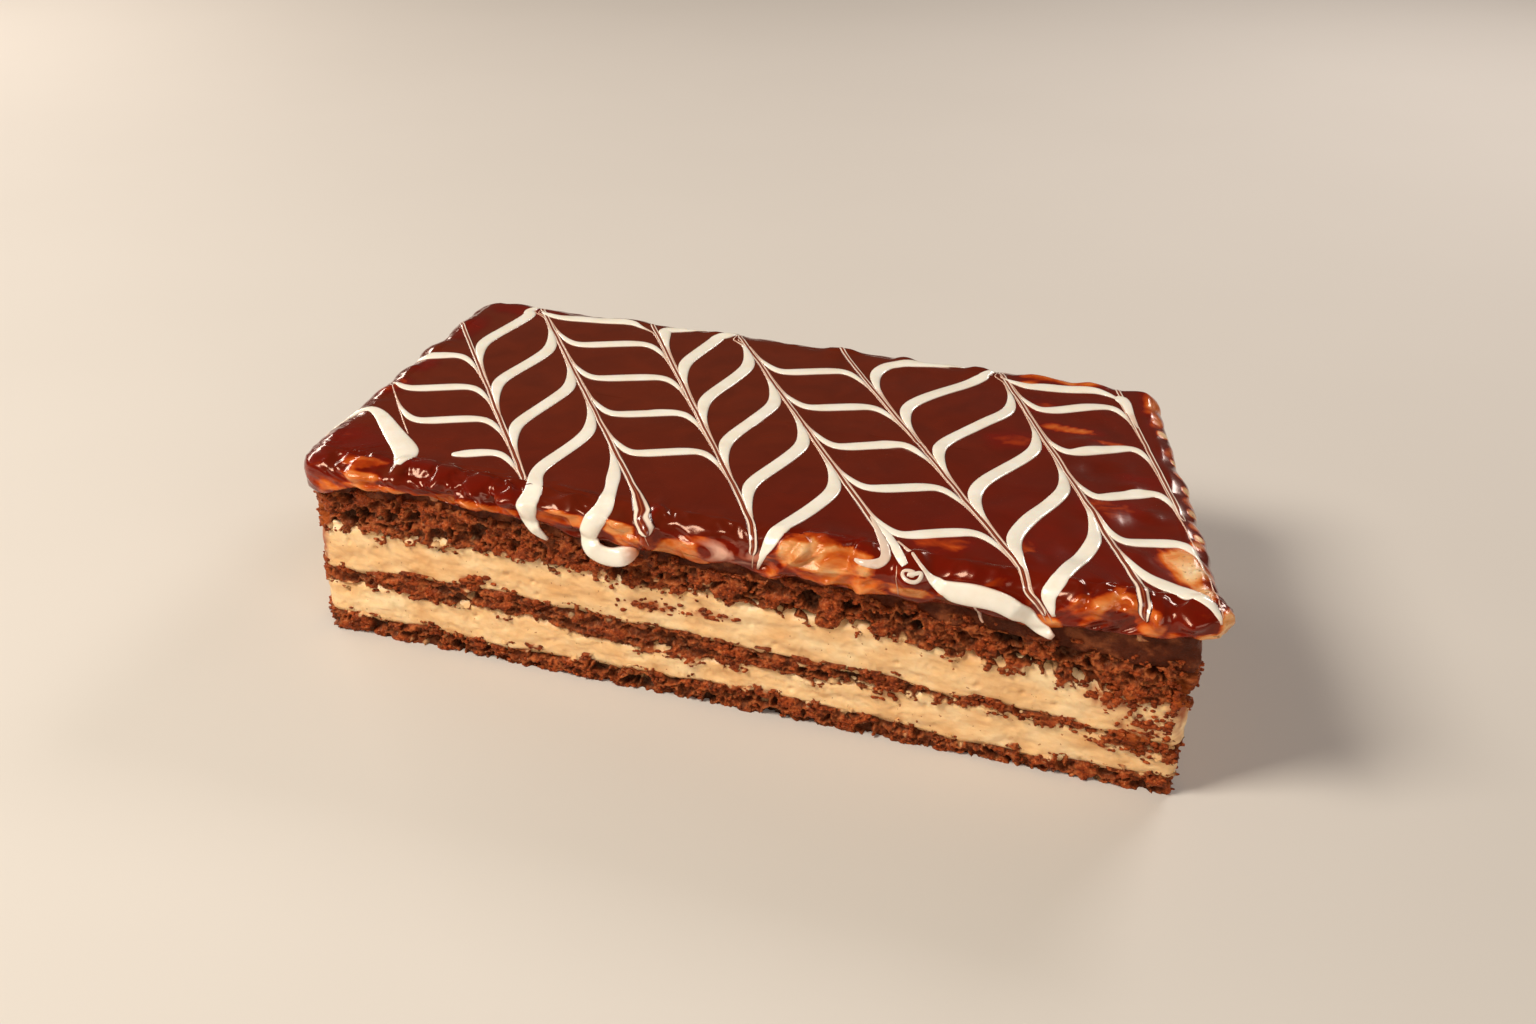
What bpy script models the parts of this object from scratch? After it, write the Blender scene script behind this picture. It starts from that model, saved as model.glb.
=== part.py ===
"""A slab of opera cake.

From the bottom up: chocolate sponge, coffee cream, chocolate sponge, coffee cream, chocolate sponge,
a skin of ganache, a skin of caramel cream, and a poured chocolate glaze feathered with white icing,
which rolls over the edges in an uneven lip.

The slab lies on its flat underside. +X runs along it, its cut front face looks along -Y, and the
origin is the middle of the underside.
"""

import bmesh
import bpy
import math
from mathutils import Vector, noise

MM = 0.001

# The block, as wide and long at its front edge as given here
LENGTH = 200 * MM
WIDTH = 100 * MM
HEIGHT = 44 * MM
LEFT_SKEW = -7 * MM        # how far the left end's back corner lies to the left of its front corner
RIGHT_SKEW = -32 * MM      # the same for the right end, which was cut at a slant
END_LEAN = 4 * MM          # how far the right end leans out from bottom to top
CORNER_RADIUS = 4 * MM
SOFT_RADIUS = 14 * MM      # the rounding that the glaze's flat top takes at its corners
STATION = 3.8 * MM         # spacing of the points round the walls
GAP = 0.3 * MM             # between two solids that touch
WELD = 0.005 * MM           # points closer than this become one after shapes are joined

# Where each layer ends above the underside, in mm, at even steps from the left end to the right
LAYER_TOPS = {
    "sponge_base": (5.6, 4.7, 5.4, 6.0, 3.8, 4.4),
    "cream_lower": (11.4, 11.4, 9.4, 10.2, 11.6, 8.0),
    "sponge_middle": (17.0, 18.0, 17.2, 15.6, 14.4, 12.4),
    "cream_upper": (25.0, 26.0, 25.2, 24.0, 22.2, 18.9),
    "sponge_top": (36.8, 37.0, 33.4, 33.4, 31.6, 30.0),
    "ganache": (38.3, 38.5, 36.0, 36.2, 35.4, 35.2),
    "caramel": (40.0,) * 6,
}
THIN_LAYERS = ("ganache", "caramel")
SPONGE_RINGS = {"sponge_base": 2, "sponge_middle": 2, "sponge_top": 4}
CREAM_RINGS = 2
WAVER = 0.5 * MM           # how far a layer's top wanders between those steps
WAVER_LENGTH = 11 * MM
SPONGE_CRAG = 1.5 * MM     # depth of the torn crumb
CRUMB_LENGTH = 4.5 * MM
CREAM_HOLLOW = 0.8 * MM    # depth of the dents in the cream
CREAM_LENGTH = 13 * MM

# The glaze's lip along the front edge, in mm: place along the edge, how far the lip hangs below the
# top, how far in from the wall the flat top ends, and how far the lip stands out
FRONT_LIP = (
    (-100, 9.0, 6.0, 3.6), (-84, 5.6, 8.0, 2.6), (-50, 5.6, 7.0, 1.8), (-29, 8.2, 4.0, 2.0),
    (-5, 8.8, 3.0, 1.8), (17, 9.2, 3.5, 2.2), (40, 9.6, 4.0, 2.4), (60, 11.0, 3.0, 2.0), (69, 12.0, 2.5, 2.0),
    (84, 9.6, 3.5, 2.6), (100, 7.0, 5.0, 3.8),
)
SIDE_LIP = (6.2 * MM, 3.5 * MM, 1.8 * MM)     # how far it hangs, its inset and its bulge elsewhere
GLAZE_RINGS = 6
LIP_RIPPLE = 0.8 * MM
RIPPLE_LENGTH = 7 * MM

# The feathered icing. Lines of icing were piped across the slab, and a point was then drawn through
# them along slanted spines, forwards and backwards in turn
SPINES = (   # place at mid-depth in mm, and slant
    (-110, -0.76), (-82, -0.74), (-55, -0.74), (-27, -0.67), (0, -0.73), (27, -0.73), (60, -0.60), (81, -0.42),
)
FIRST_ROW = (8, 33, 50, 58, 33, 51, 49)          # depth in mm of each column's hindmost row
ROW_STEP = (15.5, 20.7, 18.0, 19.3, 17.9, 18.7, 18.3)
ROWS = 7
FORWARD_SLOPE = 11 * MM    # rise of a row between its spines where the left spine was drawn backwards
BACKWARD_SLOPE = 30 * MM   # and where it was drawn forwards
PULL = 17 * MM             # how far a spine draws a row along
PULL_REACH = 0.045         # how soon that dies away, in parts of a column
ICING_WIDTH = 3.6 * MM
ICING_RISE = 0.7 * MM
ICING_SINK = 0.15 * MM
ICING_POINTS = 9
FULL_BY = 0.14             # how far from its spines a row has its full width, in parts of a column
TAIL = 0.3                # width of a drawn-out tail, in parts of the full width

# The strands that run down the front
STRAND_RADIUS = 2.1 * MM
CLEAR_OF_WALL = 0.5 * MM
START = 0.75               # thickness at the top, in parts of the full one
END_TAPER = 0.35           # how much of the thickness is gone at the end

SPONGE_BROWN = (0.115, 0.042, 0.017)
CREAM_TAN = (0.77, 0.53, 0.27)
GANACHE_BROWN = (0.075, 0.026, 0.014)
CARAMEL_ORANGE = (0.52, 0.21, 0.06)
GLAZE_BROWN = (0.10, 0.020, 0.010)


def clear_scene():
    for item in list(bpy.data.objects):
        bpy.data.objects.remove(item, do_unlink=True)


def material(name, colour, roughness):
    made = bpy.data.materials.new(name)
    made.use_nodes = True
    shader = made.node_tree.nodes["Principled BSDF"]
    shader.inputs["Base Color"].default_value = (*colour, 1.0)
    shader.inputs["Roughness"].default_value = roughness
    shader.inputs["Metallic"].default_value = 0.0
    return made


def new_collection(name):
    made = bpy.data.collections.new(name)
    bpy.context.scene.collection.children.link(made)
    return made


def add_object(name, bm, collection, surface=None):
    """Turns a finished bmesh into an object of the collection."""
    mesh = bpy.data.meshes.new(name)
    bmesh.ops.recalc_face_normals(bm, faces=bm.faces)
    bm.to_mesh(mesh)
    bm.free()
    made = bpy.data.objects.new(name, mesh)
    collection.objects.link(made)
    if surface:
        mesh.materials.append(surface)
        mesh.shade_smooth()
        mesh.set_sharp_from_angle(angle=math.radians(50))
    return made


def clamp(value, low, high):
    return max(low, min(high, value))


def smooth_step(value):
    value = clamp(value, 0.0, 1.0)
    return value * value * (3 - 2 * value)


def between(stations, x):
    """Reads a value at x from pairs of place and value, easing from one pair to the next."""
    for (x0, value0), (x1, value1) in zip(stations, stations[1:]):
        if x <= x1:
            return value0 + (value1 - value0) * smooth_step((x - x0) / (x1 - x0))
    return stations[-1][1]


def rough(x, y, z, length, seed):
    """Smooth noise from -1 to 1 that repeats every run."""
    return clamp(1.6 * noise.noise(Vector((x, y, z)) / length + Vector((seed, 3.7 * seed, 1.3))), -1.0, 1.0)


def outward(x, y, radius):
    """The direction out of the block at a point of its wall, turning round the corners."""
    core_x = clamp(x, radius - LENGTH / 2, LENGTH / 2 - radius)
    core_y = clamp(y, radius - WIDTH / 2, WIDTH / 2 - radius)
    return Vector((x - core_x, y - core_y)).normalized()


def skew(y):
    """How far each end is shifted along the slab at this depth."""
    across = y / WIDTH + 0.5
    return LEFT_SKEW * across, RIGHT_SKEW * across


def place(x, y, z):
    """Takes a point of the square block to the slab, whose right end is slanted and leans out."""
    left, right = skew(y)
    along = x / LENGTH + 0.5
    lean = END_LEAN * along * (z / HEIGHT - 1)
    return Vector((x + left * (1 - along) + right * along + lean, y, z))


def along_block(x, y):
    """The block's x for a point of the slab's top: the reverse of place."""
    left, right = skew(y)
    return (x - (left + right) / 2) / (1 + (right - left) / LENGTH)


def cut(bm, faces, point, normal):
    """Cuts the faces along a plane, keeping both sides."""
    edges = {edge for face in faces for edge in face.edges}
    verts = {vert for face in faces for vert in face.verts}
    bmesh.ops.bisect_plane(bm, geom=[*faces, *edges, *verts], plane_co=point, plane_no=normal, dist=1e-6)


def block(rings):
    """A block with rounded corners, its walls cut into columns and into rings 1 mm tall.

    Each ring is later moved to its true place. The caps are strips that run from front to back.
    """
    bm = bmesh.new()
    bmesh.ops.create_cube(bm, size=1.0)
    bmesh.ops.scale(bm, vec=(LENGTH, WIDTH, rings * MM), verts=bm.verts)
    bmesh.ops.translate(bm, vec=(0, 0, rings * MM / 2), verts=bm.verts)
    upright = [edge for edge in bm.edges if abs(edge.verts[0].co.z - edge.verts[1].co.z) > MM / 2]
    bmesh.ops.bevel(bm, geom=upright, offset=CORNER_RADIUS, segments=3, profile=0.5, affect="EDGES")
    for ring in range(1, rings):
        cut(bm, bm.faces[:], (0, 0, ring * MM), (0, 0, 1))
    for x in stations(LENGTH):
        cut(bm, bm.faces[:], (x, 0, 0), (1, 0, 0))
    for y in stations(WIDTH):
        cut(bm, [face for face in bm.faces if abs(face.normal.x) > 0.9], (0, y, 0), (0, 1, 0))
    return bm


def stations(side):
    """Even steps along the straight part of a side, without its ends."""
    straight = side - 2 * CORNER_RADIUS
    count = round(straight / STATION)
    return [straight * (step / count - 0.5) for step in range(1, count)]


def layer_top(name, x):
    """Height of a layer's top. The end strips are level, so that they stay flat."""
    tops = LAYER_TOPS[name]
    limit = LENGTH / 2 - CORNER_RADIUS - STATION
    x = clamp(x, -limit, limit)
    step = LENGTH / (len(tops) - 1)
    height = between([(step * i - LENGTH / 2, top * MM) for i, top in enumerate(tops)], x)
    if name in THIN_LAYERS:
        return height
    return height + WAVER * rough(x, 0, 0, WAVER_LENGTH, list(LAYER_TOPS).index(name))


def layer_bounds(name, x):
    """Heights between which a layer lies, with the gap to the layer below."""
    names = list(LAYER_TOPS)
    level = names.index(name)
    top = layer_top(name, x)
    if level == 0:
        return 0.0, top
    return layer_top(names[level - 1], x) + GAP, top


def sponge_wall(x, y, z):
    """How far the torn crumb stands back from the cut."""
    coarse = rough(x, y, z, CRUMB_LENGTH, 5.0)
    fine = rough(x, y, z, CRUMB_LENGTH / 2, 9.0)
    return -SPONGE_CRAG * clamp(0.5 + 0.35 * coarse + 0.25 * fine, 0.0, 1.0)


def cream_wall(x, y, z):
    """How far the smoothed cream stands back from the cut."""
    return -CREAM_HOLLOW * (0.5 + 0.5 * rough(x, y, z, CREAM_LENGTH, 2.0))


def add_layer(name, rings, wall, surface, collection):
    """One layer of the slab, its wall moved in by the wall function."""
    bm = block(rings)
    for vert in bm.verts:
        x, y, ring = vert.co.x, vert.co.y, vert.co.z / MM / rings
        low, high = layer_bounds(name, x)
        z = low + (high - low) * ring
        spot = Vector((x, y)) + outward(x, y, CORNER_RADIUS) * wall(x, y, z)
        vert.co = place(spot.x, spot.y, z)
    return add_object(name, bm, collection, surface)


def lip(x, y):
    """The lip at a point of the wall: how far it hangs, how far in the flat top ends, and its bulge."""
    front = smooth_step(0.5 - (y + WIDTH / 2 - 2 * CORNER_RADIUS) / SOFT_RADIUS)
    shape = []
    for measure, side_value in enumerate(SIDE_LIP, start=1):
        front_value = between([(stop[0] * MM, stop[measure] * MM) for stop in FRONT_LIP], x)
        shape.append(side_value + (front_value - side_value) * front)
    drop, inset, bulge = shape
    drop += LIP_RIPPLE * rough(x, y, 0, RIPPLE_LENGTH, 4.0)
    bulge += LIP_RIPPLE * rough(x, y, 0, RIPPLE_LENGTH, 7.0)
    return drop, inset, bulge


def glaze_ring(ring, x, y):
    """Offset from the wall and height of one ring of the glaze, from its underside to its flat top."""
    drop, inset, bulge = lip(x, y)
    underside = LAYER_TOPS["caramel"][0] * MM + GAP
    profile = (
        (GAP, underside),
        (GAP, HEIGHT - drop),
        (GAP + 0.8 * bulge, HEIGHT - 0.95 * drop),
        (GAP + bulge, HEIGHT - 0.62 * drop),
        (GAP + 0.7 * bulge, HEIGHT - 0.26 * drop),
        (-0.4 * inset, HEIGHT - 0.05 * drop),
        (-inset, HEIGHT),
    )
    return profile[ring]


def glaze_shell(surface, collection):
    """The poured glaze without its icing: a flat top, a rolled edge and an uneven lip."""
    bm = block(GLAZE_RINGS)
    for side in (0.0, GLAZE_RINGS * MM):
        cap = [face for face in bm.faces if all(abs(vert.co.z - side) < MM / 2 for vert in face.verts)]
        bmesh.ops.dissolve_faces(bm, faces=cap, use_verts=False)
    for vert in bm.verts:
        x, y, ring = vert.co.x, vert.co.y, round(vert.co.z / MM)
        offset, z = glaze_ring(ring, x, y)
        radius = SOFT_RADIUS if offset < 0 else CORNER_RADIUS
        spot = Vector((x, y)) + outward(x, y, radius) * offset
        vert.co = place(spot.x, spot.y, z)
    return add_object("glaze", bm, collection, surface)


def strand(points, radii, collection, flatten=1.0, rounded=False):
    """A solid strand through the points, flattened about the height of the first one.

    A rounded strand has six sides and bends smoothly; the others have four, with one edge on top.
    """
    curve = bpy.data.curves.new("strand", "CURVE")
    curve.dimensions = "3D"
    curve.twist_mode = "MINIMUM" if rounded else "Z_UP"
    curve.bevel_depth = 1.0
    curve.bevel_resolution = 1 if rounded else 0
    curve.use_fill_caps = True
    spline = curve.splines.new("NURBS" if rounded else "POLY")
    spline.points.add(len(points) - 1)
    for knot, point, radius in zip(spline.points, points, radii):
        knot.co = (*point, 1.0)
        knot.radius = radius
    if rounded:
        spline.order_u = 3
        spline.use_endpoint_u = True
        spline.resolution_u = 3
    guide = bpy.data.objects.new("strand", curve)
    collection.objects.link(guide)
    solid = guide.evaluated_get(bpy.context.evaluated_depsgraph_get())
    bm = bmesh.new()
    bm.from_mesh(bpy.data.meshes.new_from_object(solid))
    bpy.data.objects.remove(guide, do_unlink=True)
    bmesh.ops.remove_doubles(bm, verts=bm.verts, dist=1e-6)
    middle = points[0][2]
    for vert in bm.verts:
        vert.co.z = middle + (vert.co.z - middle) * flatten
    return add_object("strand", bm, collection)


def blob(middle, size, collection):
    """A rounded lump of glaze, given by its middle and its three half sizes."""
    bm = bmesh.new()
    bmesh.ops.create_icosphere(bm, subdivisions=2, radius=1.0)
    bmesh.ops.scale(bm, vec=size, verts=bm.verts)
    bmesh.ops.translate(bm, vec=middle, verts=bm.verts)
    return add_object("blob", bm, collection)


def feather_point(column, row, t):
    """A point of one row of icing between two spines, t running from the left spine to the right."""
    forward = column % 2 == 0
    slope = FORWARD_SLOPE if forward else BACKWARD_SLOPE
    pull = -PULL if forward else PULL
    drawn = math.exp((t - 1) / PULL_REACH) - math.exp(-t / PULL_REACH)
    y = (FIRST_ROW[column] - row * ROW_STEP[column]) * MM + slope * (t - 0.5) + pull * drawn
    left, right = [middle * MM + slant * y for middle, slant in SPINES[column:column + 2]]
    return left + (right - left) * t, y


def room_on_top(x, y):
    """Distance from a point to the edge of the glaze's flat top."""
    flat_x = along_block(x, y)
    inset = lip(flat_x, y)[1]
    return min(LENGTH / 2 - abs(flat_x), WIDTH / 2 - abs(y)) - inset


def icing_row(column, row, collection):
    """One row of feathered icing: a low ridge, thin where the spines drew it out."""
    points = []
    radii = []
    for step in range(ICING_POINTS):
        t = math.sin(math.pi / 2 * (step + 0.75) / (ICING_POINTS + 0.5)) ** 2
        x, y = feather_point(column, row, t)
        room = room_on_top(x, y)
        if room < GAP:
            continue
        body = smooth_step(min(t, 1 - t) / FULL_BY)
        width = ICING_WIDTH * (TAIL + (1 - TAIL) * body) * clamp(room / ICING_WIDTH, TAIL, 1.0)
        points.append((x, y, HEIGHT - ICING_SINK))
        radii.append(width / 2)
    if len(points) > 2:
        strand(points, radii, collection, flatten=2 * (ICING_RISE + ICING_SINK) / ICING_WIDTH)


def over_the_edge(stops, collection):
    """A thick strand that hangs on the front lip. Each stop is a place along the front and a height."""
    points = []
    radii = []
    for step, (x, z) in enumerate(stops):
        thickness = STRAND_RADIUS * (START if step == 0 else 1 - END_TAPER * step / len(stops))
        clear = CLEAR_OF_WALL + (0 if step == 0 else thickness)
        points.append((x * MM, -WIDTH / 2 - clear, z * MM))
        radii.append(thickness)
    strand(points, radii, collection, rounded=True)


def front_lump(x, z, half_length, half_depth, half_height, collection):
    """A lump on the front lip, just clear of the wall behind it."""
    y = -WIDTH / 2 - CLEAR_OF_WALL - half_depth * MM
    blob((x * MM, y, z * MM), (half_length * MM, half_depth * MM, half_height * MM), collection)


def add_drips(collection):
    """The strands and lumps that hang on the front lip."""
    over_the_edge(((-44, 42.6), (-45.5, 39), (-44, 36), (-40, 33.5), (-36, 31.5)), collection)
    over_the_edge(((-25, 42.6), (-28, 38.5), (-28.5, 35), (-25, 32.8), (-20, 32.4), (-16.5, 34.5)), collection)
    over_the_edge(((35, 42.6), (43, 39), (55, 35.5), (66, 32.6), (69, 31.8)), collection)
    front_lump(-84, 41, 6, 1.8, 2.8, collection)
    front_lump(-16, 37.5, 2.2, 1.5, 3.6, collection)
    front_lump(25, 40.5, 11, 1.6, 3.2, collection)
    front_lump(85, 39.5, 9, 1.8, 3.4, collection)


def fuse(body, collection):
    """Joins everything in the collection to the body as one solid, and removes the loose pieces."""
    union = body.modifiers.new("fuse", "BOOLEAN")
    union.operation = "UNION"
    union.operand_type = "COLLECTION"
    union.collection = collection
    union.solver = "EXACT"
    solid = body.evaluated_get(bpy.context.evaluated_depsgraph_get())
    fused = bpy.data.meshes.new_from_object(solid)
    body.modifiers.clear()
    bm = bmesh.new()
    bm.from_mesh(fused)
    bmesh.ops.remove_doubles(bm, verts=bm.verts, dist=WELD)
    bmesh.ops.dissolve_degenerate(bm, edges=bm.edges, dist=WELD)
    bm.to_mesh(fused)
    bm.free()
    body.data = fused
    for piece in list(collection.objects):
        bpy.data.objects.remove(piece, do_unlink=True)


def add_glaze(surface, cake):
    """The glaze with its feathered icing, drips and lumps in one solid."""
    glaze = glaze_shell(surface, cake)
    icing = new_collection("icing")
    for column in range(len(SPINES) - 1):
        for row in range(ROWS):
            icing_row(column, row, icing)
    add_drips(icing)
    fuse(glaze, icing)


def build():
    clear_scene()
    cake = new_collection("opera_cake")
    sponge = material("sponge", SPONGE_BROWN, 0.85)
    cream = material("cream", CREAM_TAN, 0.55)
    for name in ("sponge_base", "sponge_middle", "sponge_top"):
        add_layer(name, SPONGE_RINGS[name], sponge_wall, sponge, cake)
    for name in ("cream_lower", "cream_upper"):
        add_layer(name, CREAM_RINGS, cream_wall, cream, cake)
    add_layer("ganache", 1, cream_wall, material("ganache", GANACHE_BROWN, 0.4), cake)
    add_layer("caramel", 1, cream_wall, material("caramel", CARAMEL_ORANGE, 0.35), cake)
    add_glaze(material("glaze", GLAZE_BROWN, 0.12), cake)


build()
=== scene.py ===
"""The looks of the opera cake: crumbly sponge, cut cream, and a glossy glaze feathered with icing."""

import math
import random

import bmesh
import bpy
import numpy as np
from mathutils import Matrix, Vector, noise
from mathutils.bvhtree import BVHTree


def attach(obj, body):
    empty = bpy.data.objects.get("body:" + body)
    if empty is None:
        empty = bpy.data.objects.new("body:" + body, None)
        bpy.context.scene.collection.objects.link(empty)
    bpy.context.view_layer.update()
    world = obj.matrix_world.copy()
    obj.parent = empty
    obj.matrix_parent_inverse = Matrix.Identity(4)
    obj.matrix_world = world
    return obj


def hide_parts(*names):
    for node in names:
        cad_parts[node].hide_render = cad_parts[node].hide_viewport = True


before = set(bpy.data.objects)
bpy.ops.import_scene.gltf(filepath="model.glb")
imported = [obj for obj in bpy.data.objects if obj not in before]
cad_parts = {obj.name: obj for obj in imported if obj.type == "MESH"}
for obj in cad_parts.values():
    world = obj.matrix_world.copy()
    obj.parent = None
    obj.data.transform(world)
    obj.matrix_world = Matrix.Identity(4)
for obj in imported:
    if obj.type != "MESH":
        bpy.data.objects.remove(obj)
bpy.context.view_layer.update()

MM = 0.001
SEED = 7

# The block, as the solids have it
LENGTH = 200 * MM
WIDTH = 100 * MM
HEIGHT = 44 * MM
LEFT_SKEW = -7 * MM
RIGHT_SKEW = -32 * MM
END_LEAN = 4 * MM
CORNER_RADIUS = 4 * MM
SOFT_RADIUS = 14 * MM
STATION = 3.8 * MM
GAP = 0.3 * MM
LAYER_TOPS = {   # in mm, at even steps from the left end to the right
    "sponge_base": (5.6, 4.7, 5.4, 6.0, 3.8, 4.4),
    "cream_lower": (11.4, 11.4, 9.4, 10.2, 11.6, 8.0),
    "sponge_middle": (17.0, 18.0, 17.2, 15.6, 14.4, 12.4),
    "cream_upper": (25.0, 26.0, 25.2, 24.0, 22.2, 18.9),
    "sponge_top": (36.8, 37.0, 33.4, 33.4, 31.6, 30.0),
    "ganache": (38.3, 38.5, 36.0, 36.2, 35.4, 35.2),
    "caramel": (40.0,) * 6,
}
THIN_LAYERS = ("ganache", "caramel")
WAVER = 0.5 * MM
WAVER_LENGTH = 11 * MM
SPONGE_CRAG = 1.5 * MM
CRUMB_LENGTH = 4.5 * MM
CREAM_HOLLOW = 0.8 * MM
CREAM_LENGTH = 13 * MM

FRONT_LIP = (   # the glaze's lip along the front, in mm: place, drop, inset of the flat top, bulge
    (-100, 8.6, 6, 1.6), (-84, 5.6, 7, 2), (-50, 5.6, 6, 1.8), (-29, 8.2, 4, 2), (-5, 8.8, 3, 1.8),
    (17, 9, 3.5, 2), (40, 8.6, 3.5, 2.2), (60, 9.4, 3, 2), (69, 9.6, 2.5, 2), (84, 7.4, 3, 2.2),
    (100, 6.2, 4, 3.4),
)
SIDE_LIP = (6.2 * MM, 3.5 * MM, 1.8 * MM)
LIP_RIPPLE = 0.8 * MM
RIPPLE_LENGTH = 7 * MM

# The feathered icing, as a flat pattern
SPINES = (   # place at mid-depth in mm, and slant
    (-110, -0.76), (-82, -0.74), (-55, -0.74), (-27, -0.67), (0, -0.73), (27, -0.73), (59, -0.55),
    (81, -0.42),
)
FIRST_ROW = (8, 33, 50, 58, 33, 51, 49)
ROW_STEP = (15.5, 20.7, 18.0, 19.3, 17.9, 18.7, 18.3)
ROWS = 7
FORWARD_SLOPE = 11 * MM
BACKWARD_SLOPE = 30 * MM
PULL = 17 * MM
PULL_REACH = 0.045
ICING_WIDTH = 3.6 * MM

# How finely the pieces are made
FRONT_STEP = 0.3 * MM
SIDE_STEP = 0.6 * MM
CORNER_STEPS = 8
ROW_HEIGHT = 0.3 * MM
CREAM_ROW_HEIGHT = 0.5 * MM
OVERLAP = 1.3 * MM         # how far a layer's skin runs on behind its neighbours
CREAM_OVERLAP = 2.2 * MM
CAP_INSET = 8 * MM         # how far inside the wall its flat caps begin


# Shared measures, worked on whole arrays

def smooth_step(value):
    value = np.clip(value, 0.0, 1.0)
    return value * value * (3 - 2 * value)


def between(stops, x):
    """Reads values at x from pairs of place and value, easing from one pair to the next."""
    places, values = np.array(stops, float).T
    x = np.clip(x, places[0], places[-1])
    index = np.clip(np.searchsorted(places, x, side="left") - 1, 0, len(places) - 2)
    share = (x - places[index]) / (places[index + 1] - places[index])
    return values[index] + (values[index + 1] - values[index]) * smooth_step(share)


def rough(points, length, seed):
    """Smooth noise from -1 to 1 at every point, the same that shapes the solids."""
    shift = Vector((seed, 3.7 * seed, 1.3))
    flat = np.asarray(points, float).reshape(-1, 3) / length
    values = np.array([noise.noise(Vector(point) + shift) for point in flat])
    return np.clip(1.6 * values, -1.0, 1.0).reshape(np.shape(points)[:-1])


def stack(*parts):
    """Joins arrays, or single numbers among them, into an array of points."""
    return np.stack(np.broadcast_arrays(*[np.asarray(part, float) for part in parts]), axis=-1)


def in_mm(points):
    """The x, y and z of points, each an array in mm."""
    return np.moveaxis(points / MM, -1, 0)


def outward(x, y, radius):
    """The direction out of the block, turning round corners of this radius."""
    away_x = x - np.clip(x, radius - LENGTH / 2, LENGTH / 2 - radius)
    away_y = y - np.clip(y, radius - WIDTH / 2, WIDTH / 2 - radius)
    size = np.maximum(np.hypot(away_x, away_y), 1e-9)
    return away_x / size, away_y / size


def skew(y):
    across = y / WIDTH + 0.5
    return LEFT_SKEW * across, RIGHT_SKEW * across


def place(x, y, z):
    """Takes points of the square block to the slab, whose right end is slanted and leans out."""
    left, right = skew(y)
    along = x / LENGTH + 0.5
    lean = END_LEAN * along * (z / HEIGHT - 1)
    return stack(x + left * (1 - along) + right * along + lean, y, z)


def wall_path():
    """Points round the block's wall in plan, finest along the front, where it is seen closest."""
    half_x, half_y = LENGTH / 2, WIDTH / 2
    core_x, core_y = half_x - CORNER_RADIUS, half_y - CORNER_RADIUS
    runs = (
        ((-core_x, -half_y), (core_x, -half_y), FRONT_STEP, (core_x, -core_y), -90),
        ((half_x, -core_y), (half_x, core_y), SIDE_STEP, (core_x, core_y), 0),
        ((core_x, half_y), (-core_x, half_y), SIDE_STEP, (-core_x, core_y), 90),
        ((-half_x, core_y), (-half_x, -core_y), SIDE_STEP, (-core_x, -core_y), 180),
    )
    points = []
    for start, end, step, corner, turn in runs:
        start, end = Vector(start), Vector(end)
        count = round((end - start).length / step)
        points += [start.lerp(end, i / count) for i in range(count)]
        for i in range(CORNER_STEPS):
            angle = math.radians(turn + 90 * i / CORNER_STEPS)
            points.append(Vector(corner) + CORNER_RADIUS * Vector((math.cos(angle), math.sin(angle))))
    return np.array([tuple(point) for point in points]).T


WALL_X, WALL_Y = wall_path()


def layer_top(name, x):
    """How high a layer reaches at places along the block, as the solids have it."""
    tops = LAYER_TOPS[name]
    limit = LENGTH / 2 - CORNER_RADIUS - STATION
    x = np.clip(x, -limit, limit)
    step = LENGTH / (len(tops) - 1)
    height = between([(step * i - LENGTH / 2, top * MM) for i, top in enumerate(tops)], x)
    if name in THIN_LAYERS:
        return height
    return height + WAVER * rough(stack(x, 0, 0), WAVER_LENGTH, list(LAYER_TOPS).index(name))


def layer_bounds(name, x):
    names = list(LAYER_TOPS)
    level = names.index(name)
    low = layer_top(names[level - 1], x) if level else np.zeros_like(x)
    return low, layer_top(name, x)


def random_of(cells, salt):
    """A fixed random number from 0 to 1 for every cell middle."""
    mixed = np.sin(np.round(cells, 2) @ np.array([12.9898, 78.233, 37.719]) + salt) * 43758.5453
    return mixed - np.floor(mixed)


def cells_at(points, size, stretch):
    """Distances to the nearest two cell middles, and the nearest middle, for flat-lying cells."""
    scaled = points / (size * np.array([stretch, stretch, 1.0]))
    found = [noise.voronoi(Vector(point)) for point in scaled.reshape(-1, 3)]
    near = np.array([distances[:2] for distances, _ in found])
    middles = np.array([tuple(spots[0]) for _, spots in found])
    return near[:, 0], near[:, 1], middles


# Mesh building

def face_outward(mesh):
    """Turns all faces so that they face out."""
    shape = bmesh.new()
    shape.from_mesh(mesh)
    bmesh.ops.recalc_face_normals(shape, faces=shape.faces)
    shape.to_mesh(mesh)
    shape.free()


def new_object(name, points, faces):
    mesh = bpy.data.meshes.new(name)
    mesh.from_pydata([tuple(point) for point in points], [], faces)
    mesh.update()
    face_outward(mesh)
    made = bpy.data.objects.new(name, mesh)
    bpy.context.scene.collection.objects.link(made)
    mesh.shade_smooth()
    return made


def ring_faces(rings, columns, start=0):
    """The faces of a closed body of rings of points: quads between the rings, and a cap at each end."""
    across = start + np.arange(columns)
    beside = start + (np.arange(columns) + 1) % columns
    base = np.arange(rings - 1)[:, None] * columns
    above = base + columns
    quads = np.stack([base + across, base + beside, above + beside, above + across], axis=-1)
    caps = [across[::-1], across + (rings - 1) * columns]
    return quads.reshape(-1, 4).tolist() + [cap.tolist() for cap in caps]


def ring_object(name, rings):
    """A closed body from rings of points, the first at the bottom, each with as many points."""
    return new_object(name, rings.reshape(-1, 3), ring_faces(*rings.shape[:2]))


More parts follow.
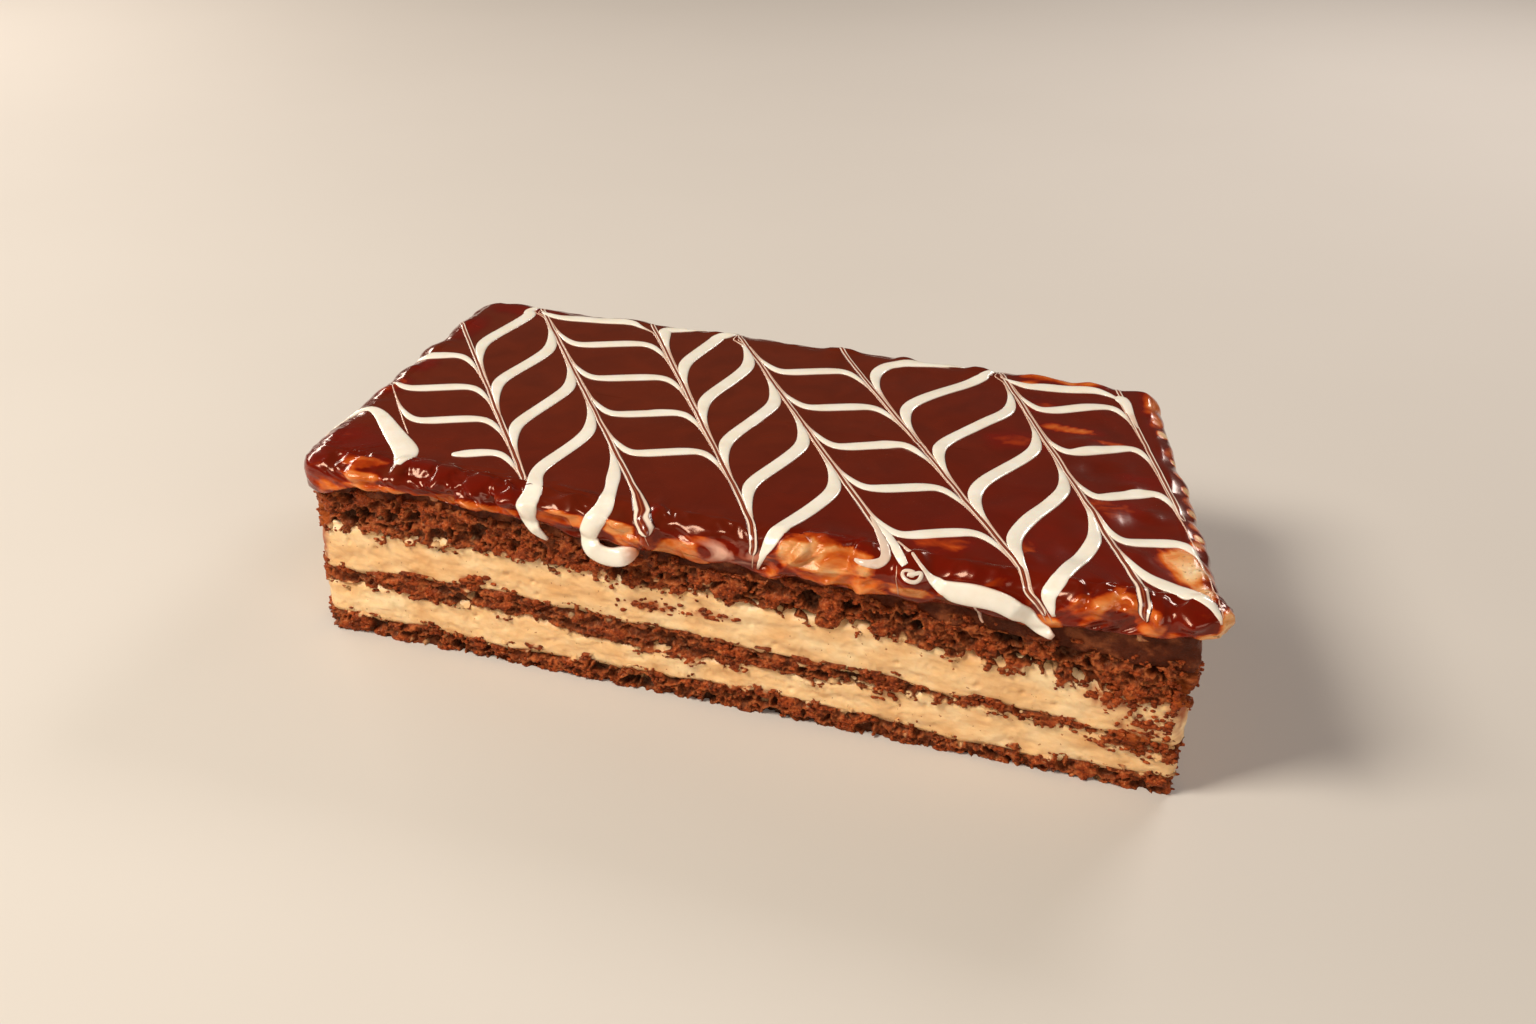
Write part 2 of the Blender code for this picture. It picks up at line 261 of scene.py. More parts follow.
def put_values(piece, name, values):
    """Stores one number for every point of the piece's mesh."""
    attribute = piece.data.attributes.new(name, "FLOAT", "POINT")
    attribute.data.foreach_set("value", np.ascontiguousarray(values, dtype=np.float32).ravel())


def finish_piece(piece, surface, nodes=()):
    """Gives the piece its material, and sets it in place of the nodes it stands for."""
    piece.data.materials.append(surface)
    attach(piece, "root")
    if nodes:
        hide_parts(*nodes)
    return piece


# Materials

def srgb(red, green, blue):
    """A colour given as it looks on screen, from 0 to 255, turned to linear light."""
    shares = [part / 255 for part in (red, green, blue)]
    return tuple(s / 12.92 if s <= 0.04045 else ((s + 0.055) / 1.055) ** 2.4 for s in shares)


def new_material(name, roughness, **settings):
    """A material with settings of its shader, underscores standing for blanks in their names."""
    made = bpy.data.materials.new(name)
    made.use_nodes = True
    shader = made.node_tree.nodes["Principled BSDF"]
    shader.inputs["Roughness"].default_value = roughness
    for key, value in settings.items():
        shader.inputs[key.replace("_", " ")].default_value = value
    return made, made.node_tree, shader


def feed(tree, shader, key, output):
    tree.links.new(output, shader.inputs[key])


def add_node(tree, kind, inputs=(), **settings):
    """A node with its settings, and its inputs given as pairs of name and value or socket."""
    made = tree.nodes.new("ShaderNode" + kind)
    for key, value in settings.items():
        setattr(made, key, value)
    for key, value in inputs:
        if isinstance(value, bpy.types.NodeSocket):
            tree.links.new(value, made.inputs[key])
        else:
            made.inputs[key].default_value = value
    return made


def math_node(tree, operation, *values):
    return add_node(tree, "Math", enumerate(values), operation=operation).outputs[0]


def grain(tree, size, detail=4.0, roughness=0.55, stretch=(1.0, 1.0, 1.0), distortion=0.0):
    """Noise whose grains are this size in metres, stretched along the axes."""
    place_node = add_node(tree, "TexCoord")
    squeeze = tuple(1 / (size * share) for share in stretch)
    mapped = add_node(tree, "Mapping", [("Vector", place_node.outputs["Object"]), ("Scale", squeeze)])
    settings = {"Vector": mapped.outputs["Vector"], "Scale": 1.0, "Detail": detail, "Roughness": roughness,
                "Distortion": distortion}
    return add_node(tree, "TexNoise", settings.items()).outputs["Fac"]


def value_of(tree, name):
    return add_node(tree, "Attribute", attribute_name=name).outputs["Fac"]


def ramp(tree, factor, *stops):
    """A colour ramp: each stop is a place and a linear colour."""
    made = add_node(tree, "ValToRGB", [("Fac", factor)])
    elements = made.color_ramp.elements
    while len(elements) < len(stops):
        elements.new(1.0)
    for element, (spot, colour) in zip(elements, stops):
        element.position = spot
        element.color = (*colour, 1.0)
    return made.outputs["Color"]


def screen_ramp(tree, factor, *stops):
    """A colour ramp: each stop is a place, and red, green and blue as they look on screen."""
    return ramp(tree, factor, *[(spot, srgb(*colour)) for spot, *colour in stops])


def level(tree, factor, low, high, start=0.0, end=1.0):
    """Stretches a factor so that low gives start and high gives end."""
    made = add_node(tree, "MapRange", [("Value", factor), ("From Min", low), ("From Max", high),
                                       ("To Min", start), ("To Max", end)])
    return made.outputs["Result"]


def mix(tree, factor, first, second, blend="MIX"):
    made = add_node(tree, "Mix", data_type="RGBA", blend_type=blend)
    for socket, value in ((made.inputs[0], factor), (made.inputs[6], first), (made.inputs[7], second)):
        if isinstance(value, bpy.types.NodeSocket):
            tree.links.new(value, socket)
        elif isinstance(value, tuple):
            socket.default_value = (*value, 1.0)
        else:
            socket.default_value = value
    return made.outputs[2]


def bump(tree, shader, height, strength, distance):
    made = add_node(tree, "Bump", [("Height", height), ("Strength", strength), ("Distance", distance)])
    feed(tree, shader, "Normal", made.outputs["Normal"])


def cream_colours(tree):
    """The creams' beige, paler and browner in soft patches, with fine dark specks."""
    soft = grain(tree, 6 * MM, detail=5.0, stretch=(1.6, 1.6, 1.0))
    base = screen_ramp(tree, soft, (0.3, 229, 175, 114), (0.5, 244, 200, 143), (0.72, 252, 223, 175))
    specks = level(tree, grain(tree, 1.1 * MM, detail=2.0), 0.69, 0.74)
    return mix(tree, specks, base, srgb(168, 98, 46))


def sponge_material():
    made, tree, shader = new_material("sponge", 0.6, Specular_IOR_Level=0.55,
                                      Specular_Tint=(1.0, 0.64, 0.38, 1.0))
    fine = grain(tree, 1.3 * MM, detail=7.0, roughness=0.7)
    brown = screen_ramp(tree, fine, (0.3, 70, 18, 3), (0.46, 136, 50, 13), (0.6, 184, 84, 34),
                        (0.76, 242, 168, 108))
    tone = screen_ramp(tree, value_of(tree, "tone"), (0.0, 190, 170, 160), (0.5, 235, 225, 220),
                       (1.0, 255, 250, 245))
    toned = mix(tree, 1.0, brown, tone, "MULTIPLY")
    rims = mix(tree, level(tree, value_of(tree, "rim"), 0.0, 1.0, 0.0, 0.55), toned, srgb(196, 112, 60))
    # Painted shade: the colour darkens towards near black at the bottom of the pits, the more so the deeper
    # they are.
    pit_shaded = mix(tree, value_of(tree, "depth"), rims, srgb(40, 11, 3))
    stained = mix(tree, value_of(tree, "stain"), pit_shaded, srgb(168, 76, 22))
    smeared = mix(tree, value_of(tree, "smear"), stained, cream_colours(tree))
    feed(tree, shader, "Base Color", smeared)
    moist = level(tree, grain(tree, 0.9 * MM, detail=3.0), 0.46, 0.6, 0.75, 0.24)
    feed(tree, shader, "Roughness", moist)
    bump(tree, shader, grain(tree, 0.45 * MM, detail=4.0, roughness=0.7), 0.7, 0.3 * MM)
    return made


def cream_material():
    made, tree, shader = new_material("cream", 0.4, Subsurface_Weight=0.2, Subsurface_Scale=1.2 * MM,
                                      Subsurface_Radius=(1.0, 0.55, 0.25))
    stained = mix(tree, value_of(tree, "stain"), cream_colours(tree), srgb(166, 78, 28))
    feed(tree, shader, "Base Color", stained)
    bump(tree, shader, grain(tree, 1.2 * MM, detail=5.0, stretch=(1.8, 1.8, 1.0)), 0.55, 0.4 * MM)
    return made


def ganache_material():
    made, tree, shader = new_material("ganache", 0.4, Specular_IOR_Level=0.25,
                                      Specular_Tint=(1.0, 0.7, 0.5, 1.0))
    soft = grain(tree, 4 * MM, detail=6.0, roughness=0.65, stretch=(1.5, 1.5, 1.0))
    colour = screen_ramp(tree, soft, (0.3, 56, 17, 5), (0.5, 86, 32, 13), (0.66, 138, 72, 40))
    feed(tree, shader, "Base Color", colour)
    bump(tree, shader, grain(tree, 1.8 * MM, detail=6.0, roughness=0.65), 0.8, 0.8 * MM)
    return made


def caramel_material():
    made, tree, shader = new_material("caramel", 0.25, Subsurface_Weight=0.15, Subsurface_Scale=1.5 * MM,
                                      Coat_Weight=0.5, Coat_Roughness=0.1)
    soft = grain(tree, 4 * MM, detail=5.0, distortion=1.5, stretch=(1.5, 1.5, 1.0))
    colour = screen_ramp(tree, soft, (0.3, 128, 52, 16), (0.5, 190, 104, 46), (0.7, 232, 172, 108))
    feed(tree, shader, "Base Color", colour)
    bump(tree, shader, grain(tree, 3 * MM, detail=4.0, distortion=1.0), 0.5, 0.8 * MM)
    return made


def glaze_material():
    """Chocolate that turns dark red, amber, caramel and cream as more caramel is mixed in."""
    made, tree, shader = new_material("glaze", 0.2, Coat_Weight=0.14, Coat_Roughness=0.05,
                                      Specular_Tint=(1.0, 0.62, 0.44, 1.0), Subsurface_Scale=1 * MM)
    mixed = value_of(tree, "mixed")
    swirls = grain(tree, 5.5 * MM, detail=3.0, roughness=0.45, distortion=1.2, stretch=(1.6, 1.3, 0.8))
    threads = grain(tree, 1.6 * MM, detail=2.0, distortion=0.8, stretch=(2.2, 1.5, 0.7))
    broad = math_node(tree, "MULTIPLY", math_node(tree, "SUBTRACT", swirls, 0.5), 0.55)
    moved = math_node(tree, "MULTIPLY_ADD", math_node(tree, "SUBTRACT", threads, 0.5), 0.16, broad)
    spread = math_node(tree, "MULTIPLY_ADD", moved, level(tree, mixed, 0.15, 0.5), mixed)
    colour = screen_ramp(tree, spread, (0.05, 98, 34, 13), (0.2, 99, 24, 7), (0.36, 110, 18, 4),
                         (0.48, 172, 60, 12), (0.6, 210, 106, 38), (0.74, 228, 156, 92),
                         (0.9, 242, 204, 152), (1.0, 250, 222, 182))
    soft = grain(tree, 9 * MM, detail=3.0, distortion=0.6)
    shade = ramp(tree, soft, (0.3, (0.86, 0.84, 0.84)), (0.7, (1.1, 1.05, 1.0)))
    shaded = mix(tree, 1.0, colour, shade, "MULTIPLY")
    milk = math_node(tree, "MULTIPLY", value_of(tree, "milky"), level(tree, swirls, 0.38, 0.56))
    clouded = mix(tree, milk, shaded, srgb(222, 168, 146))
    dots = level(tree, grain(tree, 1 * MM, detail=2.0), 0.62, 0.68)
    specks = math_node(tree, "MULTIPLY", dots, level(tree, mixed, 0.7, 0.85))
    feed(tree, shader, "Base Color", mix(tree, specks, clouded, srgb(120, 70, 40)))
    feed(tree, shader, "Roughness", level(tree, spread, 0.5, 0.9, 0.18, 0.36))
    feed(tree, shader, "Subsurface Weight", level(tree, spread, 0.3, 0.8, 0.0, 0.25))
    wrinkles = math_node(tree, "MULTIPLY", threads, level(tree, mixed, 0.45, 0.65))
    height = math_node(tree, "MULTIPLY_ADD", grain(tree, 7 * MM, detail=2.0), 0.3, wrinkles)
    bump(tree, shader, height, 0.4, 0.6 * MM)
    return made


def icing_material():
    made, tree, shader = new_material("icing", 0.22, Subsurface_Weight=0.15, Subsurface_Scale=0.8 * MM,
                                      Subsurface_Radius=(1.0, 0.6, 0.4), Coat_Weight=0.3, Coat_Roughness=0.08)
    soft = screen_ramp(tree, grain(tree, 5 * MM, detail=3.0), (0.3, 246, 236, 218), (0.7, 254, 248, 236))
    feed(tree, shader, "Base Color", mix(tree, value_of(tree, "thin"), soft, srgb(200, 122, 78)))
    return made


def streak_material():
    """Fine pale lines on red brown along a spine, where the point drew the icing out."""
    made, tree, shader = new_material("streaks", 0.2, Coat_Weight=0.4, Coat_Roughness=0.06)
    spot = add_node(tree, "CombineXYZ", [("X", value_of(tree, "spine")), ("Y", value_of(tree, "along"))])
    sway = add_node(tree, "TexNoise", [("Vector", spot.outputs["Vector"]), ("Scale", 3.0), ("Detail", 2.0)])
    shift = level(tree, sway.outputs["Fac"], 0.3, 0.7, -0.09, 0.09)
    lines = math_node(tree, "ADD", level(tree, value_of(tree, "across"), -1.0, 1.0), shift)
    dark, core, pale, soft = (92, 26, 10), (116, 36, 14), (255, 234, 214), (168, 86, 52)
    stops = ((0.05, dark), (0.12, pale), (0.25, pale), (0.34, core), (0.46, core), (0.52, soft), (0.58, core),
             (0.68, core), (0.76, pale), (0.88, pale), (0.95, dark))
    colour = screen_ramp(tree, lines, *[(place_on, *tone) for place_on, tone in stops])
    feed(tree, shader, "Base Color", colour)
    return made


# The layers under the glaze

def bell(distance):
    """One at no distance, falling to nothing at distance one."""
    return np.clip(1 - np.asarray(distance) ** 2, 0.0, 1.0) ** 2


def away_from(x, y, middle_x, middle_y, half_x, half_y):
    """How far places are from the middle of an oval, counted in its half widths."""
    return np.hypot((x - middle_x) / half_x, (y - middle_y) / half_y)


def warped(points, amount, length, seed):
    """Points shifted by smooth noise, so that cells read at them get uneven outlines."""
    shifts = [rough(points, length, seed + step) for step in (0.0, 1.7, 3.4)]
    return points + amount * np.stack(shifts, axis=-1)


SMEARS = (   # caramel and syrup stains on the front, in mm: place, height, half length, half height, share
    (-99, 24, 3.5, 18, 0.8), (-16, 21.3, 8, 2, 1), (-3, 21.8, 7, 1.5, 0.8), (84, 20, 9, 3.6, 1),
    (91, 14.5, 7, 4.6, 1), (91, 9.5, 5, 2.5, 0.8), (97, 19, 3.5, 12, 0.9), (37, 10.5, 4, 1.5, 0.5),
    (-60, 19.5, 5, 1.2, 0.5),
)
STAIN_STRENGTH = 1.7
DARKEST_STAIN = 0.95


def stains(points):
    """How strongly each point of the wall is stained, from 0 to 1."""
    x, y, z = in_mm(points)
    amount = np.zeros(points.shape[:-1])
    front = smooth_step((-y - 34) / 10)
    for px, pz, half_x, half_z, share in SMEARS:
        amount = np.maximum(amount, share * bell(away_from(x, z, px, pz, half_x, half_z)) * front)
    uneven = warped(points, 1.2 * MM, 3 * MM, 35)
    patchy = 0.55 + 0.6 * rough(uneven, 5 * MM, 31) + 0.5 * rough(uneven, 1.4 * MM, 32)
    return np.clip(amount * STAIN_STRENGTH * patchy, 0.0, DARKEST_STAIN)


def layer_rows(name, row_height, below, above):
    """The rows of a layer's skin, which runs on behind its neighbours: their heights and points."""
    low, high = layer_bounds(name, WALL_X)
    low, high = low - below, high + above
    rows = int(np.ceil((high - low).max() / row_height)) + 1
    heights = low + (high - low) * np.linspace(0, 1, rows)[:, None]
    return heights, stack(WALL_X, WALL_Y, heights).reshape(-1, 3)


def skin(name, heights, relief):
    """The closed body of a layer: its wall moved out by the relief, with flat caps well inside it."""
    out_x, out_y = outward(WALL_X, WALL_Y, CORNER_RADIUS)
    wall = place(WALL_X + out_x * relief, WALL_Y + out_y * relief, heights)
    soft_x, soft_y = outward(WALL_X, WALL_Y, SOFT_RADIUS)
    inside_x, inside_y = WALL_X - soft_x * CAP_INSET, WALL_Y - soft_y * CAP_INSET
    bottom, top = [place(inside_x, inside_y, np.full_like(WALL_X, heights[row].mean())) for row in (0, -1)]
    return ring_object(name, np.concatenate([bottom[None], wall, top[None]]))


def put_wall_values(piece, shape, **values):
    """Stores numbers for the wall's points, with zeros for the two cap rings."""
    blank = np.zeros((1, shape[1]))
    for key, numbers in values.items():
        put_values(piece, key, np.concatenate([blank, numbers.reshape(shape), blank]))


CRUMB_SCALES = (   # size of the cells and greatest depth in mm, share of lumps among them, weight
    (3.1, 2.1, 0.4, 1.0), (1.5, 1.0, 0.45, 0.8),
)


def crumb_relief(points, stretch, pores):
    """Open crumb: pores with thin walls between them, and lumps in place of some pores."""
    relief, depth, rim, tone = np.zeros((4, len(points)))
    for cell, deepest, lumps, share in CRUMB_SCALES:
        size, deepest = cell * MM * pores, deepest * MM * pores
        uneven = warped(points, 0.3 * size, 0.8 * size, size / MM)
        near, next_near, middles = cells_at(uneven, size, stretch)
        wall = next_near - near
        pore = random_of(middles, size / MM) > lumps
        pit = smooth_step((wall - 0.05) / 0.2) * (0.4 + 0.6 * random_of(middles, 5.1)) * pore
        relief -= deepest * pit
        relief += 0.3 * deepest * smooth_step(wall / 0.5) * (1 - pore)
        # depth: how deep each pit is, which the sponge's colour turns into painted shade in the pits
        depth = np.maximum(depth, share * pit)
        rim = np.maximum(rim, share * (1 - smooth_step(wall / 0.12)) * pore)
        tone += share * random_of(middles, 9.4) / 1.8
    return relief, depth, rim, tone


CLUMP = 1.9 * MM           # size of the clumps that are missing at a layer's edge, and how far they go in
TORN_HEIGHT = 1.3 * MM     # how far into the layer clumps may be missing
TORN_SPREAD = 2.6 * MM
SMEAR_HEIGHT = 2.2 * MM    # how far into the layer the cream beside it is smeared
GRIT = 0.16 * MM
DEEPEST = 3.4 * MM         # the sponge's wall stays between these, inward and outward
PROUDEST = 0.3 * MM


def held(points, past, stretch):
    """Whether the crumb's clumps are there, as a share that falls past the edge of the layer."""
    uneven = warped(points, 0.3 * CLUMP, 0.8 * CLUMP, 51)
    _, _, middles = cells_at(uneven, CLUMP, stretch)
    return random_of(middles, 3.3).reshape(past.shape) > 0.5 + past / TORN_SPREAD


def sponge_layer(name, surface, stretch, film=0.0, pores=1.0):
    """A layer of torn sponge. At its edges whole clumps are missing or stand over the cream.

    Its cells are longer than they are high by the stretch, and a film as thick as given darkens its top.
    """
    below = 0.0 if name == "sponge_base" else OVERLAP
    heights, points = layer_rows(name, ROW_HEIGHT, below, OVERLAP)
    low, high = layer_bounds(name, WALL_X)
    crag = -SPONGE_CRAG * np.clip(0.12 + 0.35 * rough(points, CRUMB_LENGTH, 5), 0.0, 1.0)
    crumb, depth, rim, tone = crumb_relief(points, stretch, pores)
    grit = GRIT * rough(points, 0.7 * MM, 12)
    relief = (crag + crumb + grit).reshape(heights.shape)
    depth, tone = depth.reshape(heights.shape), tone.reshape(heights.shape)
    past = np.where(heights > (low + high) / 2, heights - high, low - heights if below else -1.0)
    there = held(points, past, stretch) | (past < -TORN_HEIGHT)
    relief = np.clip(np.where(there, relief, relief - CLUMP), -DEEPEST, PROUDEST)
    piece = skin(name + "_crumb", heights, relief)
    near_edge = smooth_step(1 + past / SMEAR_HEIGHT)
    patchy = rough(points, 2.4 * MM, 23).reshape(heights.shape)
    smear = smooth_step((near_edge * 0.75 + patchy - 0.85) / 0.3) * 0.8
    if name == "sponge_top":
        smear = smear * (heights < (low + high) / 2)
    if film:
        coat = smooth_step((heights - high + film) / (0.5 * MM))
        smear = smear * (1 - coat)
        tone = tone * (1 - 0.4 * coat)
    # The stored depth gives the pits their painted shade.
    put_wall_values(piece, heights.shape, depth=depth, rim=rim, tone=tone, smear=smear, stain=stains(points))
    finish_piece(piece, surface, [name])
    return heights, relief, depth


KNIFE_MARKS = 0.26 * MM
KNIFE_RIDGES = 0.12 * MM
DENT_CELL = 3 * MM
DENT_DEPTH = 0.55 * MM


def cream_layer(name, surface):
    """A layer of cream, roughly smoothed, which also fills the pores beside it."""
    heights, points = layer_rows(name, CREAM_ROW_HEIGHT, CREAM_OVERLAP, CREAM_OVERLAP)
    low, high = layer_bounds(name, WALL_X)
    relief = -CREAM_HOLLOW * (0.65 + 0.3 * rough(points, CREAM_LENGTH, 2))
    knife = warped(points * np.array([0.6, 0.6, 1.4]), 0.8 * MM, 3 * MM, 44)
    relief += KNIFE_MARKS * rough(knife, 3.2 * MM, 6)
    relief += KNIFE_RIDGES * (1 - 2 * np.abs(rough(knife, 1.5 * MM, 8)))
    near, _, middles = cells_at(points, DENT_CELL, 1.4)
    relief -= DENT_DEPTH * bell(near / 0.26) * (random_of(middles, 2.0) > 0.6)
    past = np.maximum(heights - high, low - heights)
    relief = relief.reshape(heights.shape) - 0.8 * np.maximum(past - 0.3 * MM, 0)
    piece = skin(name + "_fill", heights, relief)
    put_wall_values(piece, heights.shape, stain=stains(points))
    finish_piece(piece, surface, [name])


def thin_layer(name, surface, inset, length, above=0.0):
    """A thin skin between sponge and glaze, wavy where it shows."""
    heights, points = layer_rows(name, CREAM_ROW_HEIGHT, OVERLAP, above)
    broad, small = rough(points, length, 8), rough(points, 0.35 * length, 10)
    relief = -inset + 0.6 * MM * broad + 0.35 * MM * small
    finish_piece(skin(name + "_skin", heights, relief.reshape(heights.shape)), surface, [name])


def bit_shape(draw, corners):
    """One angular bit, by pushing the corners of a small ball in and out."""
    shape = corners * np.array([draw.uniform(0.7, 1.5), draw.uniform(0.5, 1.0), draw.uniform(0.4, 0.9)])
    return shape * np.array([[draw.uniform(0.75, 1.2)] for _ in corners])


def small_ball():
    """The corners of a small ball, and the corners of each of its faces."""
    ball = bmesh.new()
    bmesh.ops.create_icosphere(ball, subdivisions=1, radius=1.0)
    corners = np.array([tuple(vert.co) for vert in ball.verts])
    sides = [[vert.index for vert in face.verts] for face in ball.faces]
    ball.free()
    return corners, sides


WALL_BITS = (0.22, 0.62)   # least and greatest size in mm of the bits on the torn walls
STAIN_BITS = (0.25, 0.9)
BIT_DEPTH = 1.3 * MM       # bits cling where the wall isn't deeper than this
STAIN_DENSITY = 5


def clinging_bits(name, surface, walls):
    """Loose bits of sponge: so many on each torn wall, and more in the stains on the cream."""
    draw = random.Random(SEED + len(name))
    corners, sides = small_ball()
    out_x, out_y = outward(WALL_X, WALL_Y, CORNER_RADIUS)
    spots = []
    for (heights, relief, depth), count in walls:
        open_spots = np.argwhere((depth < 0.25) & (relief > -BIT_DEPTH))
        for _ in range(count):
            row, column = open_spots[draw.randrange(len(open_spots))]
            size = draw.uniform(*WALL_BITS) * MM
            reach = relief[row, column] + 0.1 * size
            x, y = WALL_X[column] + out_x[column] * reach, WALL_Y[column] + out_y[column] * reach
            spots.append((x, y, max(heights[row, column], 1.2 * size), size))
    for x, z, half_x, half_z, share in SMEARS[1:]:
        for _ in range(round(STAIN_DENSITY * share * half_x * half_z ** 0.5)):
            size = draw.uniform(*STAIN_BITS) * MM
            along, up = draw.gauss(0, 0.42) * half_x, draw.gauss(0, 0.42) * half_z
            inside = min((x + along) * MM, LENGTH / 2 - CORNER_RADIUS)
            spots.append((inside, 0.5 * MM - WIDTH / 2, max((z + up) * MM, size), size))
    points, faces = [], []
    for x, y, z, size in spots:
        faces += [[index + len(points) for index in side] for side in sides]
        points += list(place(x, y, z) + bit_shape(draw, corners) * size)
    piece = new_object(name, points, faces)
    put_values(piece, "tone", np.repeat([draw.random() for _ in spots], len(corners)))
    finish_piece(piece, surface)


# The glaze

def lip(x, y):
    """The lip at points of the wall: how far it hangs, how far in the flat top ends, and its bulge."""
    front = smooth_step(0.5 - (y + WIDTH / 2 - 2 * CORNER_RADIUS) / SOFT_RADIUS)
    shape = []
    for measure, side_value in enumerate(SIDE_LIP, start=1):
        front_value = between([(stop[0] * MM, stop[measure] * MM) for stop in FRONT_LIP], x)
        shape.append(side_value + (front_value - side_value) * front)
    drop, inset, bulge = shape
    drop = drop + LIP_RIPPLE * rough(stack(x, y, 0), RIPPLE_LENGTH, 4)
    bulge = bulge + LIP_RIPPLE * rough(stack(x, y, 0), RIPPLE_LENGTH, 7)
    return drop, inset, bulge


def profile_stops(drop, inset, bulge):
    """Offsets from the wall and heights of the glaze's edge, from its underside to its flat top."""
    underside = LAYER_TOPS["caramel"][0] * MM + GAP
    offsets = (GAP, GAP, GAP + 0.8 * bulge, GAP + bulge, GAP + 0.7 * bulge, -0.4 * inset, -inset)
    heights = [underside, *[HEIGHT - share * drop for share in (1, 0.95, 0.62, 0.26, 0.05, 0)]]
    return [[np.broadcast_to(part, drop.shape) for part in parts] for parts in (offsets, heights)]


def eased(stops, ring):
    """A smooth curve through the stops, read at a place counted in stops."""
    index = min(int(ring), len(stops) - 2)
    share = ring - index
    before = stops[max(index - 1, 0)]
    after = stops[min(index + 2, len(stops) - 1)]
    start, end = stops[index], stops[index + 1]
    slope_in, slope_out = (end - before) / 2, (after - start) / 2
    square, cube = share ** 2, share ** 3
    return ((2 * cube - 3 * square + 1) * start + (cube - 2 * square + share) * slope_in
            + (3 * square - 2 * cube) * end + (cube - square) * slope_out)


RING_STEPS = 8             # rings between two stops of the lip's profile
LAST_STOP = 6
TOP_RINGS = 22
COLUMN_LIP = lip(WALL_X, WALL_Y)
COLUMN_OFFSETS, COLUMN_HEIGHTS = profile_stops(*COLUMN_LIP)

LUMPS = (   # on the front lip, in mm: place, height, half length, half height, how far it stands out
    (-85, 41.5, 6, 3, 1.5), (-77, 43.3, 2.8, 2.4, 2), (-82, 39.3, 9, 1.3, 0.8), (-67, 42.6, 3.6, 2.4, 2.2),
    (-58, 42, 3.6, 2, 1.8), (-50, 41.3, 3.2, 1.8, 1.5), (-60, 39.4, 10, 1.1, 0.8), (-37, 41.3, 5, 2.2, 1.2),
    (-35, 38.2, 5, 1.6, 0.6), (-23.5, 40.4, 3.6, 1.8, 1.5), (-21, 37.8, 3, 1.4, 1.1),
    (-17, 39.8, 2.8, 5.2, 1.8), (-9, 38, 6, 2.4, 1.1), (1, 38, 8, 3, 0.8), (15, 40.8, 5, 3.2, 1.4),
    (22, 41.8, 5, 3.6, 2), (29, 41.4, 3.6, 3.2, 1.9), (29.5, 35.6, 3, 1.8, 1.4), (23, 36.2, 3, 1.2, 0.8),
    (39.5, 39.8, 4.6, 4.4, 2.6), (47, 37.6, 5, 2.2, 0.8), (54, 42.4, 8, 2.4, 0.9), (72, 42, 4, 2.6, 0.8),
    (77.5, 41, 3.2, 3.2, 2), (83.5, 42.3, 3.2, 2.2, 2.2), (88.5, 40.2, 2.6, 3.4, 1.9),
    (95, 41, 4.2, 3.2, 2.3), (101.5, 41.5, 3.2, 3, 1.6), (-33, 36.6, 4, 1.6, -0.9), (9, 36.4, 3, 1.6, -0.7),
    (35, 37, 2.2, 1.6, -0.8),
)
FOLDS = (   # where the skin of the glaze is folded, in mm: place, half length, height of the folds
    (-62, 19, 1.7), (-88, 12, 0.9), (-36, 9, 1), (-8, 14, 0.9), (22, 13, 1.5), (40, 6, 0.2), (56, 12, 0.5),
    (80, 10, 1.2), (96, 8, 1),
)
EDGE_LUMPS = (   # on the other edges and corners, seen from above, in mm: place, depth, radius, height
    (-94, -41, 13, 1), (-72, -47, 5, 1.5), (-104, 33, 7, 0.8), (-104, 15, 7, 0.9), (-103, 0, 6, 0.8),
    (-102, -13, 6, 0.9), (-98, 48, 8, 0.7), (-66, 50, 8, 0.7), (-40, 50, 7, 0.8), (-8, 48, 6, 1.3),
    (8, 48.5, 4, 1), (27, 47.5, 4.5, 1.3), (42, 48, 8, 1), (55, 48, 6, 1.1), (68, 45, 7, 1.2),
    (71, 38, 7, 0.6), (76, 27, 7, 0.4), (78.5, 20, 8, 0.5), (84, 5, 9, 0.7), (87.5, -8, 8, 0.6),
    (90.5, -18, 9, 0.7), (92, -26, 7, 0.6), (90, -33, 6, 1.3), (94, -39, 5, 1.5), (98, -45, 4, 0.8),
)
RISE_LIMIT = 1.1 * MM      # how far a lump of the lip may rise above the top
DIAGONAL = 0.45            # how steeply the folds of the lip run up, away from its middle
FRONT_PLANE = -52 * MM     # places on the lip are read here, and shift with what stands out farther
SHIFT_ASIDE = 0.375
SHIFT_UP = 0.5


def lumps_out(points):
    """How far lumps and folds push each point of the glaze's edge out, and how the folds run."""
    x, y, z = in_mm(points)
    front = smooth_step((-y - 42) / 6)
    reach, hollow = np.zeros((2, *x.shape))
    for px, pz, half_x, half_z, height in LUMPS:
        middle_x, middle_z = px + SHIFT_ASIDE * abs(height), pz + SHIFT_UP * abs(height)
        swell = height * bell(away_from(x, z, middle_x, middle_z, half_x, half_z)) * front
        reach, hollow = np.maximum(reach, swell), np.minimum(hollow, swell)
    for px, py, radius, height in EDGE_LUMPS:
        reach = np.maximum(reach, height * bell(away_from(x, y, px, py, radius, radius)))
    folded = 0.3 - 0.24 * smooth_step((x - 58) / 12)
    for px, half_x, height in FOLDS:
        folded = np.maximum(folded, height * bell((x - px) / half_x * 0.8) ** 0.5 * front)
    tilted = stack(0.4 * x, 0.9 * y, 1.1 * (z - DIAGONAL * np.abs(x - 5) * front)) * MM
    bent = warped(tilted, 1.6 * MM, 6 * MM, 61)
    ridges = 1 - 2 * np.abs(rough(bent, 4.6 * MM, 14))
    small = 1 - 2 * np.abs(rough(bent, 2.2 * MM, 16))
    return MM * (reach + hollow + folded * (0.6 * ridges + 0.35 * small - 0.15)), ridges


